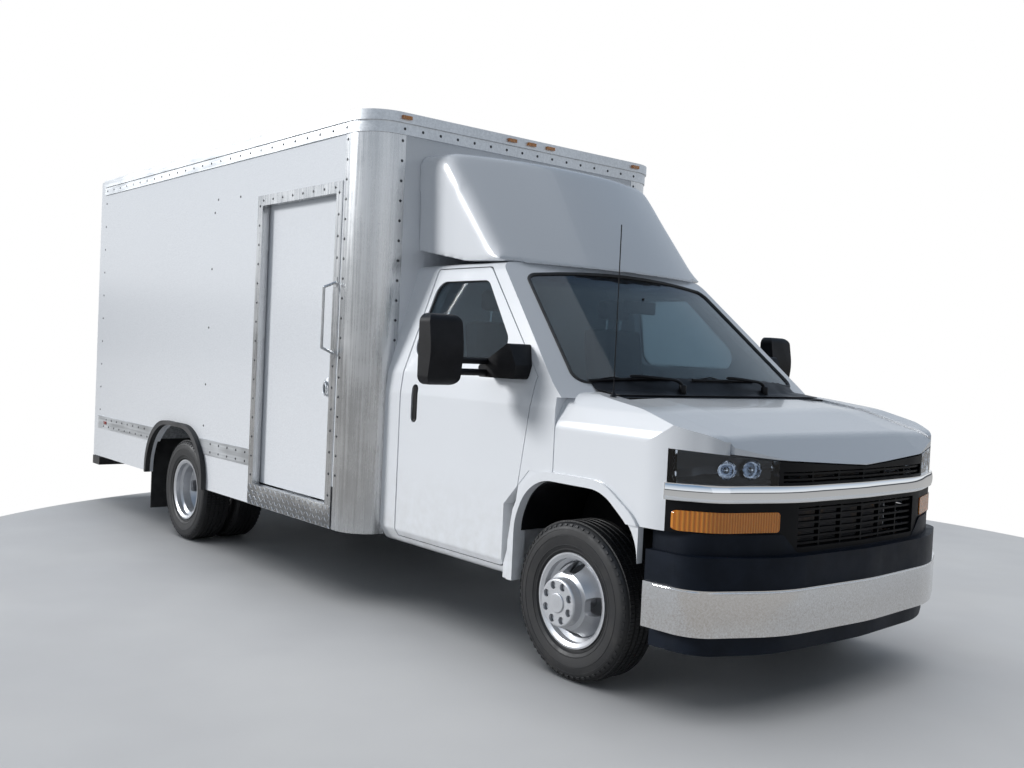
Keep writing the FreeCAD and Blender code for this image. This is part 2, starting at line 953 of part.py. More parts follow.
def face_space(gap):
    """Band across the front that the lamps, grille and chrome bar fill, with its lower edge dropped between them."""
    outline = [
        (-side_half - overrun, face_low_outer - gap, 0),
        (-face_step_outer, face_low_outer - gap, face_step_round),
        (-face_step_inner, face_low_centre - gap, face_step_round),
        (face_step_inner, face_low_centre - gap, face_step_round),
        (face_step_outer, face_low_outer - gap, face_step_round),
        (side_half + overrun, face_low_outer - gap, 0),
        (side_half + overrun, face_top_outer + gap, 0),
        (lamp_inner_y, face_top_inner + gap, face_step_round),
        (0, face_top_centre + gap, 0),
        (-lamp_inner_y, face_top_inner + gap, face_step_round),
        (-side_half - overrun, face_top_outer + gap, 0),
    ]
    return section_prism(outline, at(lamp_side_x), at(nose_centre_x) + overrun * 2)


def face_band(inset, depth):
    """Curved slab of the front face, from inset behind the surface and as thick as depth."""
    low, high = face_low_centre - overrun * 2, face_top_outer + overrun * 2
    band = nose_plan_prism(inset, at(sill_front), low, high).cut(
        nose_plan_prism(inset + depth, at(sill_front), low, high)
    )
    return band.common(face_space(0))


def layer(shape, z0, z1):
    return shape.common(block(at(0), at(bumper_front), -side_half * 2, side_half * 2, z0, z1))


def side_window(y0, y1, z0, z1, corner):
    """Rounded window in the front face, for a lamp."""
    return section_prism(
        [(y0, z0, corner), (y1, z0, corner), (y1, z1, corner), (y0, z1, corner)],
        at(lamp_side_x) + overrun,
        at(nose_centre_x) + overrun * 2,
    )


def headlamps():
    band = layer(face_band(0, lamp_depth), chrome_high + glass_gap, crown_z)
    right = band.common(block(at(0), at(bumper_front), -side_half, -lamp_inner_y, 0, crown_z))
    return both_sides(right)


def front_amber():
    band = face_band(-lamp_proud, lamp_depth)
    right = band.common(
        side_window(-amber_outer_y, -amber_inner_y, amber_low, amber_high, lamp_round / 2)
    )
    return [right, mirrored(right)]


def chrome_bar():
    return layer(face_band(-chrome_proud, lamp_depth), chrome_low, chrome_high)


def grille():
    """Black surround with slats above and below the chrome bar."""
    low = layer(face_band(0, grille_depth), 0, chrome_low - glass_gap)
    for side in (-1, 1):
        edges = (side * (amber_outer_y + glass_gap), side * (amber_inner_y - glass_gap))
        low = low.cut(
            side_window(
                min(edges), max(edges), amber_low - glass_gap, amber_high + glass_gap, lamp_round / 2
            )
        )
    inner = lamp_inner_y - glass_gap
    high = layer(face_band(0, grille_depth), chrome_high + glass_gap, crown_z)
    high = high.common(block(at(0), at(bumper_front), -inner, inner, 0, crown_z))
    pieces = []
    for surround, z0, z1, half in (
        (low, face_low_centre + bezel_bar, chrome_low - bezel_bar, grille_low_half),
        (high, chrome_high + bezel_bar / 2, face_top_centre - bezel_bar / 2, inner - bezel_bar),
    ):
        hole = block(at(0), at(bumper_front), -half, half, z0, z1)
        pieces.append(fuse([surround.cut(hole)] + grille_slats(z0, z1, half)))
    return pieces


def grille_slats(z0, z1, half):
    """Crossing bars set back in one window of the grille."""
    band = face_band(bezel_bar / 2, bezel_bar)
    count = max(1, round((z1 - z0) / grille_pitch))
    slats = []
    for i in range(count):
        z = z0 + (i + 0.5) * (z1 - z0) / count
        slats.append(
            block(at(0), at(bumper_front), -half, half, z - grille_slat / 2, z + grille_slat / 2)
        )
    for share in grille_upright_shares:
        y = share * half
        slats.append(block(at(0), at(bumper_front), y - grille_slat / 2, y + grille_slat / 2, z0, z1))
    return [band.common(fuse(slats))]


def bumper_plan(inset):
    half = [
        (at(bumper_end_x), bumper_end_y - inset, 0),
        (at(bumper_corner_x) - inset / 2, bumper_corner_y - inset, bumper_corner_round),
        (at(bumper_mid_x) - inset, bumper_mid_y, bumper_mid_round),
        (at(bumper_front) - inset, 0, bumper_mid_round * 2),
    ]
    return half + [(x, -y, r) for x, y, r in reversed(half[:-1])]


def bumper_band(inset, wall, z0, z1):
    outer = plan_prism(bumper_plan(inset), z0, z1)
    return outer.cut(plan_prism(bumper_plan(inset + wall), z0 - overrun, z1 + overrun))


def bumper_bar():
    """Chromed steel bar with a rolled upper lip, and its two brackets to the frame."""
    bar = bumper_band(0, bumper_wall, bar_bottom, pad_bottom)
    brackets = []
    for side in (-1, 1):
        y = side * rail_centre_y
        arm = block(
            at(rail_front), at(bumper_front), y - bumper_arm_half, y + bumper_arm_half, rail_bottom,
            pad_bottom,
        )
        brackets.append(arm.common(plan_prism(bumper_plan(bumper_wall), 0, pad_bottom)))
    return fuse([bar] + brackets)


def bumper_pad():
    """Moulded step pad on top of the bar, sloping up to the grille."""
    plan, inner = bumper_plan(pad_inset), bumper_plan(pad_inset + face_depth)
    pad = plan_prism(plan, pad_bottom, face_low_outer).cut(
        plan_prism(inner, pad_bottom - overrun, crown_z)
    )
    pad = pad.cut(face_space(0))
    edge = plan_prism(bumper_plan(pad_inset - overrun), pad_slope_z, crown_z)
    edge = edge.cut(
        plan_prism(bumper_plan(pad_inset + pad_slope), pad_slope_z - overrun, crown_z + overrun)
    )
    return largest(pad.cut(edge))


def valance():
    """Black air dam under the bar."""
    band = bumper_band(valance_inset, valance_wall, valance_bottom, bar_bottom)
    ledge = plan_prism(bumper_plan(bumper_wall + glass_gap), bar_bottom, bar_bottom + valance_wall)
    ledge = ledge.cut(
        plan_prism(bumper_plan(valance_inset + valance_wall), bar_bottom - overrun, bar_bottom + overrun)
    )
    return fuse([band, ledge])


def cowl_panel():
    """Black vent panel between the hood and the foot of the screen."""
    panel = nose_solid(0, 0).cut(nose_solid(0, cowl_thick))
    space = block(
        at(screen_foot_x), at(hood_rear) - hood_gap, -hood_half - hood_gap, hood_half + hood_gap, cowl_top, crown_z
    )
    return largest(panel.common(space).cut(cab_solid(0)))


def antenna():
    foot_z = antenna_seat_z()
    foot = Part.makeCone(
        antenna_foot_radius, antenna_radius * 2, antenna_foot_height, vec(
            at(antenna_x), antenna_y, foot_z
        )
    )
    mast = Part.makeCylinder(
        antenna_radius, antenna_top - foot_z - antenna_foot_height, vec(
            at(antenna_x), antenna_y, foot_z + antenna_foot_height
        )
    )
    return fuse([foot, mast])


def antenna_seat_z():
    """Height of the fender's top where the antenna stands."""
    column = Part.makeCylinder(antenna_foot_radius, crown_z, vec(at(antenna_x), antenna_y, 0))
    return nose_solid(0, 0).common(column).BoundBox.ZMax


def dashboard():
    body = side_prism(
        [
            (at(dash_front), dash_low, 0),
            (at(dash_front), dash_top, 0),
            (at(dash_rear) + dash_round, dash_top - dash_round / 2, dash_round),
            (at(dash_rear), dash_low + dash_round, dash_round),
            (at(dash_rear) + dash_round, dash_low, dash_round / 2),
        ],
        -dash_half,
        dash_half,
    )
    body = body.common(cab_solid(cab_wall + glass_gap))
    tilt = math.radians(wheel_tilt_deg)
    axis = vec(-math.cos(tilt), 0, math.sin(tilt))
    hub = vec(at(wheel_x), column_y, wheel_z)
    end = hub - axis * (wheel_hub_thick + wheel_gap)
    start = end - axis * (wheel_x * -1 + dash_front) * (1 / math.cos(tilt)) * (2 / 3)
    column = rod(start, end, column_radius)
    return fuse([body, column])


def steering_wheel():
    tilt = math.radians(wheel_tilt_deg)
    axis = vec(-math.cos(tilt), 0, math.sin(tilt))
    side = vec(0, 1, 0)
    across = axis.cross(side)
    hub = vec(at(wheel_x), column_y, wheel_z)
    grip = []
    for i in range(grip_sides + 1):
        angle = math.radians(360) * i / grip_sides
        outward = wheel_ring_radius + wheel_grip_radius * math.cos(angle)
        grip.append(hub + side * outward + axis * wheel_grip_radius * math.sin(angle))
    ring = Part.Face(Part.makePolygon(grip)).revolve(hub, axis, 360)
    boss = Part.makeCylinder(wheel_hub_radius, wheel_hub_thick, hub - axis * wheel_hub_thick, axis)
    spokes = []
    for direction in (side, side * -1, across * -1 if across.z > 0 else across):
        spokes.append(
            rod(hub - axis * wheel_spoke_half, hub + direction * wheel_ring_radius, wheel_spoke_half / 2)
        )
    return fuse([ring, boss] + spokes)


def seat(y):
    """Bucket seat: boxed base, cushion, leaning back and head restraint."""
    base = block(
        at(seat_front) - seat_round, at(seat_rear) + seat_round, y - seat_box_half, y + seat_box_half,
        tunnel_top + cab_wall, seat_base_top - seat_cushion_thick,
    )
    cushion = side_prism(
        [
            (at(seat_front), seat_base_top - seat_cushion_thick, seat_round),
            (at(seat_front), seat_base_top, seat_round),
            (at(seat_rear), seat_base_top - seat_round, 0),
            (at(seat_rear), seat_base_top - seat_cushion_thick, 0),
        ],
        y - seat_half_width,
        y + seat_half_width,
    )
    back = side_prism(
        [
            (at(seat_rear) + seat_back_thick, seat_base_top - seat_cushion_thick, 0),
            (at(seat_rear) + seat_back_thick - seat_back_lean, seat_back_top, seat_round),
            (at(seat_rear) - seat_back_lean, seat_back_top, seat_round),
            (at(seat_rear), seat_base_top - seat_cushion_thick, 0),
        ],
        y - seat_half_width + seat_round / 2,
        y + seat_half_width - seat_round / 2,
    )
    head_x = at(seat_rear) - seat_back_lean
    head = block(
        head_x + seat_round / 2, head_x + seat_round / 2 + head_thick, y - head_half, y + head_half,
        seat_back_top + seat_round, head_top,
    )
    head = head.makeFillet(seat_round / 2, head.Edges)
    posts = []
    for side in (-1, 1):
        foot = vec(head_x + head_thick * 2 / 3, y + side * head_half / 2, seat_back_top - seat_round)
        posts.append(rod(foot, foot + vec(0, 0, seat_round * 3), head_post_radius))
    return fuse([base, cushion, back, head] + posts)


def fairing_form(inset):
    """Wind deflector between the cab roof and the box front."""
    profile = [
        (at(box_front), fairing_side_low_z, 0),
        (at(fairing_side_low_x), fairing_side_low_z, 0),
        (at(fairing_side_front_x), fairing_side_front_z, 0),
        (at(fairing_low_x) - inset * 2, fairing_low_z, 0),
        (at(fairing_ridge_x) - inset, fairing_top_z - inset, fairing_round),
        (at(box_front), fairing_top_z - inset, 0),
    ]
    half = [
        (fairing_half_low - inset, fairing_low_z, 0),
        (fairing_half_high - inset, fairing_top_z, fairing_round),
    ]
    section = half + [(-y, z, r) for y, z, r in reversed(half)]
    body = side_prism(profile, -fairing_half_high, fairing_half_high)
    body = body.common(section_prism(section, at(box_front), at(fairing_low_x)))
    run = vec(fairing_low_x - fairing_ridge_x, 0, fairing_low_z - fairing_top_z)
    run.normalize()
    normal = vec(-run.z, 0, run.x)
    start = vec(
        at(fairing_low_x), 0, fairing_low_z
    ) + run * fairing_bow - normal * (fairing_bow - inset * -1)
    drum = Part.makeCylinder(fairing_bow, fairing_bow * 2, start, run * -1)
    return body.common(drum)


def fairing():
    shell = fairing_form(0).cut(fairing_form(fairing_wall))
    return shell.cut(cab_solid(0))


def box_outline(inset):
    """Plan of the cargo box with its two round front corners."""
    front, rear, half, r = at(box_front) - inset, at(box_rear), box_half - inset, corner_radius - inset
    return [(rear, -half, 0), (front, -half, r), (front, half, r), (rear, half, 0)]


def box_ring(inset, wall, z0, z1):
    outer = plan_prism(box_outline(inset), z0, z1)
    inner = [
        (
            x - overrun * 2 if x < at(box_front) - corner_radius * 2 else x, y, r
        ) for x, y, r in box_outline(inset + wall)
    ]
    return outer.cut(plan_prism(inner, z0 - overrun, z1 + overrun))


def right_side_space():
    return block(
        at(box_rear) + rear_post_depth, at(box_front) - corner_radius, -box_half - overrun * 3, 0, 0,
        box_top,
    )


def side_opening(grow, y_in):
    return block(
        at(opening_rear) - grow, at(opening_front) + grow, -box_half - overrun * 3, y_in, opening_low - grow, opening_high + grow
    )


def rear_arch_outline(grow):
    return [
        (at(rear_arch_x) - rear_arch_half - grow, 0, 0),
        (at(rear_arch_x) - rear_arch_half - grow, rear_arch_top + grow, rear_arch_round),
        (at(rear_arch_x) + rear_arch_half + grow, rear_arch_top + grow, rear_arch_round),
        (at(rear_arch_x) + rear_arch_half + grow, 0, 0),
    ]


def right_wall():
    wall = box_ring(0, box_wall, rub_low, box_top - roof_thick).common(right_side_space())
    wall = wall.cut(side_opening(frame_lip, 0))
    return wall.cut(side_prism(rear_arch_outline(0), -box_half - overrun, 0))


def left_wall():
    wall = mirrored(box_ring(0, box_wall, rub_low, box_top - roof_thick).common(right_side_space()))
    return wall.cut(side_prism(rear_arch_outline(0), 0, box_half + overrun))


def front_wall():
    wall = box_ring(0, box_wall, tunnel_top, box_top - roof_thick)
    return wall.common(
        block(
            at(box_front) - box_wall, at(box_front), -box_half + corner_radius,
            box_half - corner_radius, 0, box_top,
        )
    )


def corner_posts():
    """Quarter-round aluminium front corners with riveted flanges."""
    ring = box_ring(0, box_wall, skirt_bottom, box_top - roof_thick)
    right = ring.common(
        block(
            at(box_front) - corner_radius, at(box_front), -box_half, -box_half + corner_radius, 0,
            box_top,
        )
    )
    skin = box_ring(-post_flange_thick, post_flange_thick, skirt_bottom, top_rail_low)
    flange = skin.common(
        block(
            at(box_front) - corner_radius - post_flange, at(box_front) - corner_radius, -box_half - overrun,
            -box_half + overrun, 0, box_top,
        )
    )
    front = skin.common(
        block(
            at(box_front) - overrun, at(box_front) + overrun, -box_half + corner_radius,
            -box_half + corner_radius + post_flange, tunnel_top, box_top,
        )
    )
    rolled = skin.common(
        block(
            at(box_front) - corner_radius, at(box_front) + overrun, -box_half - overrun,
            -box_half + corner_radius, 0, box_top,
        )
    )
    return both_sides(fuse([right, rolled, flange, front]).cut(cab_solid(0)))


def body_rails():
    """Extruded top rail round the front and sides, and the lower side rails."""
    low = box_ring(-top_rail_proud, top_rail_proud, top_rail_low, box_top)
    low = low.cut(
        block(
            at(box_rear) - overrun, at(box_rear) + rear_post_depth, -side_half * 2, side_half * 2, 0,
            box_top,
        )
    )
    high = box_ring(-top_rail_upper_proud, top_rail_upper_proud, top_rail_low + top_rail_step, box_top)
    high = high.cut(
        block(
            at(box_rear) - overrun, at(box_rear) + rear_post_depth, -side_half * 2, side_half * 2, 0,
            box_top,
        )
    )
    rail = fuse([low, high])
    rub = block(
        at(box_rear) + rear_post_depth, at(opening_rear) - frame_band, -box_half - rub_proud, -box_half, rub_low, rub_high
    )
    rub = rub.cut(side_prism(rear_arch_outline(flare_width), -box_half - overrun, 0))
    left = block(
        at(box_rear) + rear_post_depth, at(box_front) - corner_radius - post_flange, box_half, box_half + rub_proud, rub_low, rub_high
    )
    left = left.cut(side_prism(rear_arch_outline(flare_width), 0, box_half + overrun))
    return [rail] + rub.Solids + left.Solids


def skirts():
    """White panels below the floor line, with the wheel arches cut."""
    right = block(
        at(box_rear) + rear_post_depth, at(opening_rear) - frame_band, -box_half, -box_half + skirt_wall, skirt_bottom, rub_low
    )
    right = right.cut(side_prism(rear_arch_outline(0), -box_half - overrun, 0))
    left = block(
        at(box_rear) + rear_post_depth, at(box_front) - corner_radius, box_half - skirt_wall, box_half, skirt_bottom, rub_low
    )
    left = left.cut(side_prism(rear_arch_outline(0), 0, box_half + overrun))
    return right.Solids + left.Solids


def box_floor():
    """Floor deck, its cross sills on the frame, and the two wheel boxes."""
    inner = box_half - box_wall
    deck = block(
        at(box_rear) + rear_post_depth, at(box_front) - box_wall, -inner, inner,
        floor_top - floor_thick, floor_top,
    )
    pocket_y = -inner + slide_pocket
    slot = block(
        at(opening_rear) - door_slide - slide_door_lap - overrun, at(opening_front) + slide_door_lap + overrun,
        -inner - overrun, pocket_y, 0, floor_top + overrun,
    )
    well = block(
        at(opening_rear), at(opening_front), -inner - overrun, pocket_y + step_depth, 0,
        floor_top + overrun,
    )
    pieces = [deck]
    span = box_front - box_rear - rear_post_depth - box_wall - sill_width
    for i in range(sill_count):
        x = at(box_rear) + rear_post_depth + i * span / (sill_count - 1)
        pieces.append(block(x, x + sill_width, -inner, inner, rail_top, floor_top - floor_thick))
    floor = fuse(pieces).cut(slot).cut(well)
    arch = side_prism(rear_arch_outline(0), -inner, -wheel_box_inner_y)
    hole = side_prism(
        rear_arch_outline(-wheel_box_wall), -inner - overrun, -wheel_box_inner_y - wheel_box_wall
    )
    shell = arch.cut(hole).cut(block(at(box_rear), at(box_front), -inner, 0, 0, rail_top))
    floor = floor.cut(side_prism(rear_arch_outline(0), -inner, -wheel_box_inner_y))
    floor = floor.cut(side_prism(rear_arch_outline(0), wheel_box_inner_y, inner))
    floor = fuse([floor, shell, mirrored(shell)])
    tread = block(
        at(opening_rear), at(opening_front), pocket_y, pocket_y + step_depth,
        opening_low - step_thick, opening_low,
    )
    riser = block(
        at(opening_rear), at(opening_front), pocket_y + step_depth - step_thick, pocket_y + step_depth,
        opening_low - step_thick, floor_top - floor_thick / 2,
    )
    floor = floor.common(plan_prism(box_outline(box_wall), tunnel_top, box_top))
    return fuse([floor, tread, riser])


def box_roof():
    return plan_prism(box_outline(0), box_top - roof_thick, box_top - roof_set)


def rear_frame():
    """White portal round the roll-up door."""
    outer = block(
        at(box_rear), at(box_rear) + rear_post_depth, -box_half, box_half, skirt_bottom, box_top
    )
    outer = outer.cut(box_roof_space())
    hole = block(
        at(box_rear) - overrun, at(box_rear) + rear_post_depth + overrun,
        -box_half + rear_post_width, box_half - rear_post_width,
        floor_top, box_top - rear_header_height,
    )
    under = block(
        at(box_rear) - overrun, at(box_rear) + rear_post_depth + overrun,
        -box_half + rear_post_width, box_half - rear_post_width, 0, floor_top - rear_sill_height,
    )
    frame = outer.cut(hole).cut(under)
    track = block(
        at(box_rear) + roll_slat_inset - roll_track, at(box_rear) + roll_slat_inset + roll_slat_thick + roll_track,
        -box_half + rear_post_width, -box_half + rear_post_width + roll_track, floor_top, box_top - rear_header_height,
    )
    groove = block(
        at(box_rear) + roll_slat_inset - glass_gap, at(box_rear) + roll_slat_inset + roll_slat_thick + glass_gap,
        -box_half + rear_post_width, -box_half + rear_post_width + roll_track + overrun, floor_top, box_top - rear_header_height,
    )
    track = track.cut(groove)
    return fuse([frame, track, mirrored(track)])


def box_roof_space():
    return block(
        at(box_rear), at(box_rear) + rear_post_depth, -box_half, box_half, box_top - roof_thick, box_top
    )


def roll_door():
    """Horizontal slats hinged to each other, with the latch on the lowest."""
    z0, z1 = floor_top + glass_gap, box_top - rear_header_height - glass_gap
    pitch = (z1 - z0) / roll_slat_count
    x0 = at(box_rear) + roll_slat_inset
    half = box_half - rear_post_width - glass_gap
    pieces = []
    for i in range(roll_slat_count):
        low = z0 + i * pitch
        pieces.append(block(x0, x0 + roll_slat_thick, -half, half, low, low + pitch - roll_slat_gap))
        if i:
            pieces.append(
                block(
                    x0 + roll_slat_gap * 2, x0 + roll_slat_thick, -half, half, low - roll_slat_gap, low
                )
            )
    pieces.append(
        block(
            x0 - latch_depth, x0, -latch_half, latch_half, z0 + pitch / 3, z0 + pitch / 3 + latch_height
        )
    )
    return fuse(pieces)


def slide_door():
    """Flush panel in an aluminium edge, running rearward inside the wall."""
    y0 = -box_half + box_wall + slide_door_gap
    x0, x1 = at(opening_rear) - slide_door_lap, at(opening_front) + slide_door_lap
    z0, z1 = opening_low + slide_door_gap, opening_high + slide_door_lap
    panel = block(x0, x1, y0, y0 + slide_door_thick, z0, z1)
    seen = block(
        at(opening_rear) + door_trim, at(opening_front) - slide_door_gap, y0 - door_trim_proud, y0, z0, opening_high - door_trim
    )
    knob_x = at(opening_front) - latch_plate * 2
    plate = block(
        knob_x - latch_plate / 2, knob_x + latch_plate / 2, y0 - latch_rod * 2, y0,
        latch_z - latch_plate, latch_z + latch_plate,
    )
    track_low = -box_half + box_wall + slide_track_wall + glass_gap
    track_high = -box_half + box_wall + slide_pocket - slide_track_wall - glass_gap
    hangers = []
    for x in (x0 + hanger_inset, x1 - hanger_inset - hanger_length):
        top = z1 + slide_roller_gap + slide_track_height - slide_track_wall - glass_gap
        hangers.append(
            block(x, x + hanger_length, track_low, track_high, z1 + slide_roller_gap * 2, top)
        )
        hangers.append(
            block(
                x, x + hanger_length, y0 + glass_gap, y0 + slide_door_thick / 2, z1,
                z1 + slide_roller_gap * 2,
            )
        )
    return fuse([panel, seen, plate] + hangers)


def side_door_frame():
    """Aluminium surround, the tread plate below it, the door's tracks and the grab bar."""
    face_y = -box_half - frame_proud
    depth_y = -box_half + box_wall
    outer = block(
        at(opening_rear) - frame_band, at(opening_front) + frame_band, face_y, -box_half, skirt_bottom, opening_high + frame_band
    )
    reveal = block(
        at(opening_rear) - frame_lip, at(opening_front) + frame_lip, face_y, depth_y, opening_low - frame_lip, opening_high + frame_lip
    )
    frame = fuse([outer, reveal]).cut(side_opening(0, 0))
    lower_wall = block(
        at(opening_rear) - frame_band, at(opening_front) + frame_band, -box_half, -box_half + skirt_wall,
        skirt_bottom, opening_low - frame_lip,
    )
    frame = fuse([frame, lower_wall])
    grab_x = at(opening_front) + frame_band / 2
    foot_low = vec(grab_x, face_y, grab_low)
    foot_high = vec(grab_x, face_y, grab_high)
    out = vec(0, -grab_reach, 0)
    bend = vec(0, 0, grab_bend)
    bar = [
        rod(foot_low, foot_low + out + bend, grab_radius),
        rod(foot_high, foot_high + out - bend, grab_radius),
        rod(foot_low + out + bend, foot_high + out - bend, grab_radius),
        Part.makeSphere(grab_radius, foot_low + out + bend),
        Part.makeSphere(grab_radius, foot_high + out - bend),
    ]
    feet = []
    for foot in (foot_low, foot_high):
        feet.append(
            block(
                foot.x - grab_foot / 2, foot.x + grab_foot / 2, face_y - frame_lip, face_y,
                foot.z - grab_foot, foot.z + grab_foot,
            )
        )
    return fuse([frame] + bar + feet)


def slide_track():
    """Overhead channel that carries the side door inside the wall, open below."""
    y0 = -box_half + box_wall
    y1 = -box_half + box_wall + slide_pocket
    z0 = opening_high + slide_door_lap + slide_roller_gap
    x0, x1 = at(opening_rear) - door_slide - slide_door_lap, at(opening_front) + slide_door_lap
    rail = block(x0, x1, y0, y1, z0, z0 + slide_track_height)
    hollow = block(
        x0 - overrun, x1 + overrun, y0 + slide_track_wall, y1 - slide_track_wall, z0 - overrun, z0 + slide_track_height - slide_track_wall
    )
    return rail.cut(hollow)


def arch_rubber():
    """Moulded flares over the rear arches, and the flaps behind the wheels."""
    ring = side_prism(rear_arch_outline(flare_width), -box_half - flare_proud, -box_half)
    ring = ring.cut(side_prism(rear_arch_outline(0), -box_half - overrun * 3, 0))
    ring = ring.cut(block(at(box_rear), at(box_front), -side_half * 2, 0, 0, skirt_bottom))
    flap = block(
        at(flap_x) - flap_thick, at(flap_x), -flap_outer_y, -flap_inner_y, flap_bottom, floor_top - floor_thick
    )
    right = [ring, flap]
    return right + [mirrored(s) for s in right]


def rear_bumper():
    """Step bumper: folded deck on two frame arms, with the blank plate bracket."""
    deck = block(
        at(step_bumper_rear), at(step_bumper_rear) + step_bumper_deck, -step_bumper_half, step_bumper_half, step_bumper_low, step_bumper_high
    )
    hollow = block(
        at(step_bumper_rear) + step_bumper_wall, at(step_bumper_rear) + step_bumper_deck - step_bumper_wall,
        -step_bumper_half + step_bumper_wall, step_bumper_half - step_bumper_wall,
        step_bumper_low - overrun, step_bumper_high - step_bumper_wall,
    )
    arms = []
    for side in (-1, 1):
        y = side * rail_centre_y
        arms.append(
            block(
                at(step_bumper_rear) + step_bumper_deck - step_bumper_wall, at(box_rear) + rear_post_depth * 2,
                y - bumper_arm_half, y + bumper_arm_half, step_bumper_low, rail_bottom,
            )
        )
    return fuse([deck.cut(hollow)] + arms)


def tail_lamps():
    """Round red lamps in the rear sill, and the marker lamps in the header."""
    lamps = []
    for side in (-1, 1):
        for place in (0, 1):
            y = side * (tail_lamp_y - place * tail_lamp_pitch)
            lamps.append(
                Part.makeCylinder(
                    tail_lamp_radius, tail_lamp_depth,
                    vec(at(box_rear) - tail_lamp_depth, y, floor_top - rear_sill_height / 2),
                    vec(1, 0, 0),
                )
            )
    for y in marker_places():
        z = box_top - roof_thick - marker_height * 3
        lamps.append(
            block(
                at(box_rear) - marker_proud, at(box_rear), y - marker_half, y + marker_half, z,
                z + marker_height,
            )
        )
    return lamps


def marker_places():
    return (-marker_corner_y, -marker_pitch, 0, marker_pitch, marker_corner_y)


def front_markers():
    lamps = []
    x0 = at(box_front) + top_rail_upper_proud
    z = box_top - marker_height * 2
    for y in marker_places():
        y = max(min(y, box_half - corner_radius - marker_half), -box_half + corner_radius + marker_half)
        lamp = block(x0, x0 + marker_proud, y - marker_half, y + marker_half, z, z + marker_height)
        lamps.append(lamp)
    return lamps


def tyre(y, x):
    flange = rim_half_width - rim_flange_thick - bead_gap
    half = [
        (tyre_bead_half, rim_seat_radius + bead_gap, 0),
        (flange, rim_flange_radius + bead_gap, 0),
        (tyre_half_width, tyre_bulge_radius, 0),
        (tyre_shoulder_half, tyre_radius, 0),
    ]
    corners = half + [(-y, z, r) for y, z, r in reversed(half)]
    return turned(corners, y, tyre_radius, x)


def wheel_rim(y, x, facing):
    """Drop-centre rim and dished disc. The disc bulges towards facing, +1 or -1 along Y."""
    outer = [
        (-rim_half_width, rim_flange_radius, 0),
        (-rim_half_width + rim_flange_thick, rim_flange_radius, 0),
        (-tyre_bead_half - bead_gap, rim_seat_radius, 0),
        (-rim_seat_inner, rim_seat_radius, 0),
        (-rim_well_half, rim_well_radius, 0),
        (rim_well_half, rim_well_radius, 0),
        (rim_seat_inner, rim_seat_radius, 0),
        (tyre_bead_half + bead_gap, rim_seat_radius, 0),
        (rim_half_width - rim_flange_thick, rim_flange_radius, 0),
        (rim_half_width, rim_flange_radius, 0),
    ]
    inner = [
        (rim_half_width, rim_flange_radius - rim_wall, 0),
        (rim_half_width - rim_flange_thick, rim_seat_radius - rim_wall, 0),
        (rim_seat_inner, rim_seat_radius - rim_wall, 0),
        (rim_well_half, rim_well_radius - rim_wall, 0),
        (-rim_well_half, rim_well_radius - rim_wall, 0),
        (-rim_seat_inner, rim_seat_radius - rim_wall, 0),
        (-rim_half_width + rim_flange_thick, rim_seat_radius - rim_wall, 0),
        (-rim_half_width, rim_flange_radius - rim_wall, 0),
    ]
    barrel = turned(outer + inner, y, tyre_radius, x)
    root_radius = rim_well_radius - rim_wall / 2
    disc = [
        (facing * disc_root, root_radius, 0),
        (facing * (disc_offset - disc_bevel / 2), disc_shoulder_radius + disc_bevel, 0),
        (facing * disc_offset, disc_shoulder_radius - disc_bevel / 2, 0),
        (facing * disc_offset, spindle_radius + spindle_fit, 0),
        (facing * (disc_offset - disc_thick), spindle_radius + spindle_fit, 0),
        (facing * (disc_offset - disc_thick), disc_shoulder_radius - disc_bevel, 0),
        (facing * (disc_root - disc_thick), root_radius - disc_thick / 2, 0),
    ]
    dish = turned(disc, y, tyre_radius, x)
    for i in range(hand_hole_count):
        angle = math.radians(90) + i * math.radians(360) / hand_hole_count
        dish = dish.cut(hand_hole(y, x, angle))
    return fuse([barrel, dish])


def hand_hole(y, x, angle):
    """Oval hole through the disc's slope, along the axle."""
    reach = rim_half_width + disc_offset
    along = vec(-math.sin(angle), 0, math.cos(angle)) * hand_hole_half_length
    centre = vec(x, y - reach, tyre_radius) + vec(math.cos(angle), 0, math.sin(angle)) * hand_hole_radius
    ends = [
        Part.makeCylinder(hand_hole_round, reach * 2, centre + along * s, vec(0, 1, 0)) for s in (-1, 1)
    ]
    side = vec(math.cos(angle), 0, math.sin(angle)) * hand_hole_round
    corners = [
        centre - along - side, centre + along - side, centre + along + side, centre - along + side
    ]
    wire = Part.makePolygon(corners + [corners[0]])
    return fuse(ends + [Part.Face(wire).extrude(vec(0, reach * 2, 0))])


def lug_row(y_face, x, radius, length):
    """Cylinders on the lug circle, from y_face inwards to the left."""
    nuts = []
    for i in range(lug_count):
        angle = math.radians(360) * (i + 0.5) / lug_count
        centre = vec(
            x + math.cos(angle) * lug_circle_radius, y_face, tyre_radius + math.sin(angle) * lug_circle_radius
        )
        nuts.append(Part.makeCylinder(radius, length, centre, vec(0, 1, 0)))
    return nuts


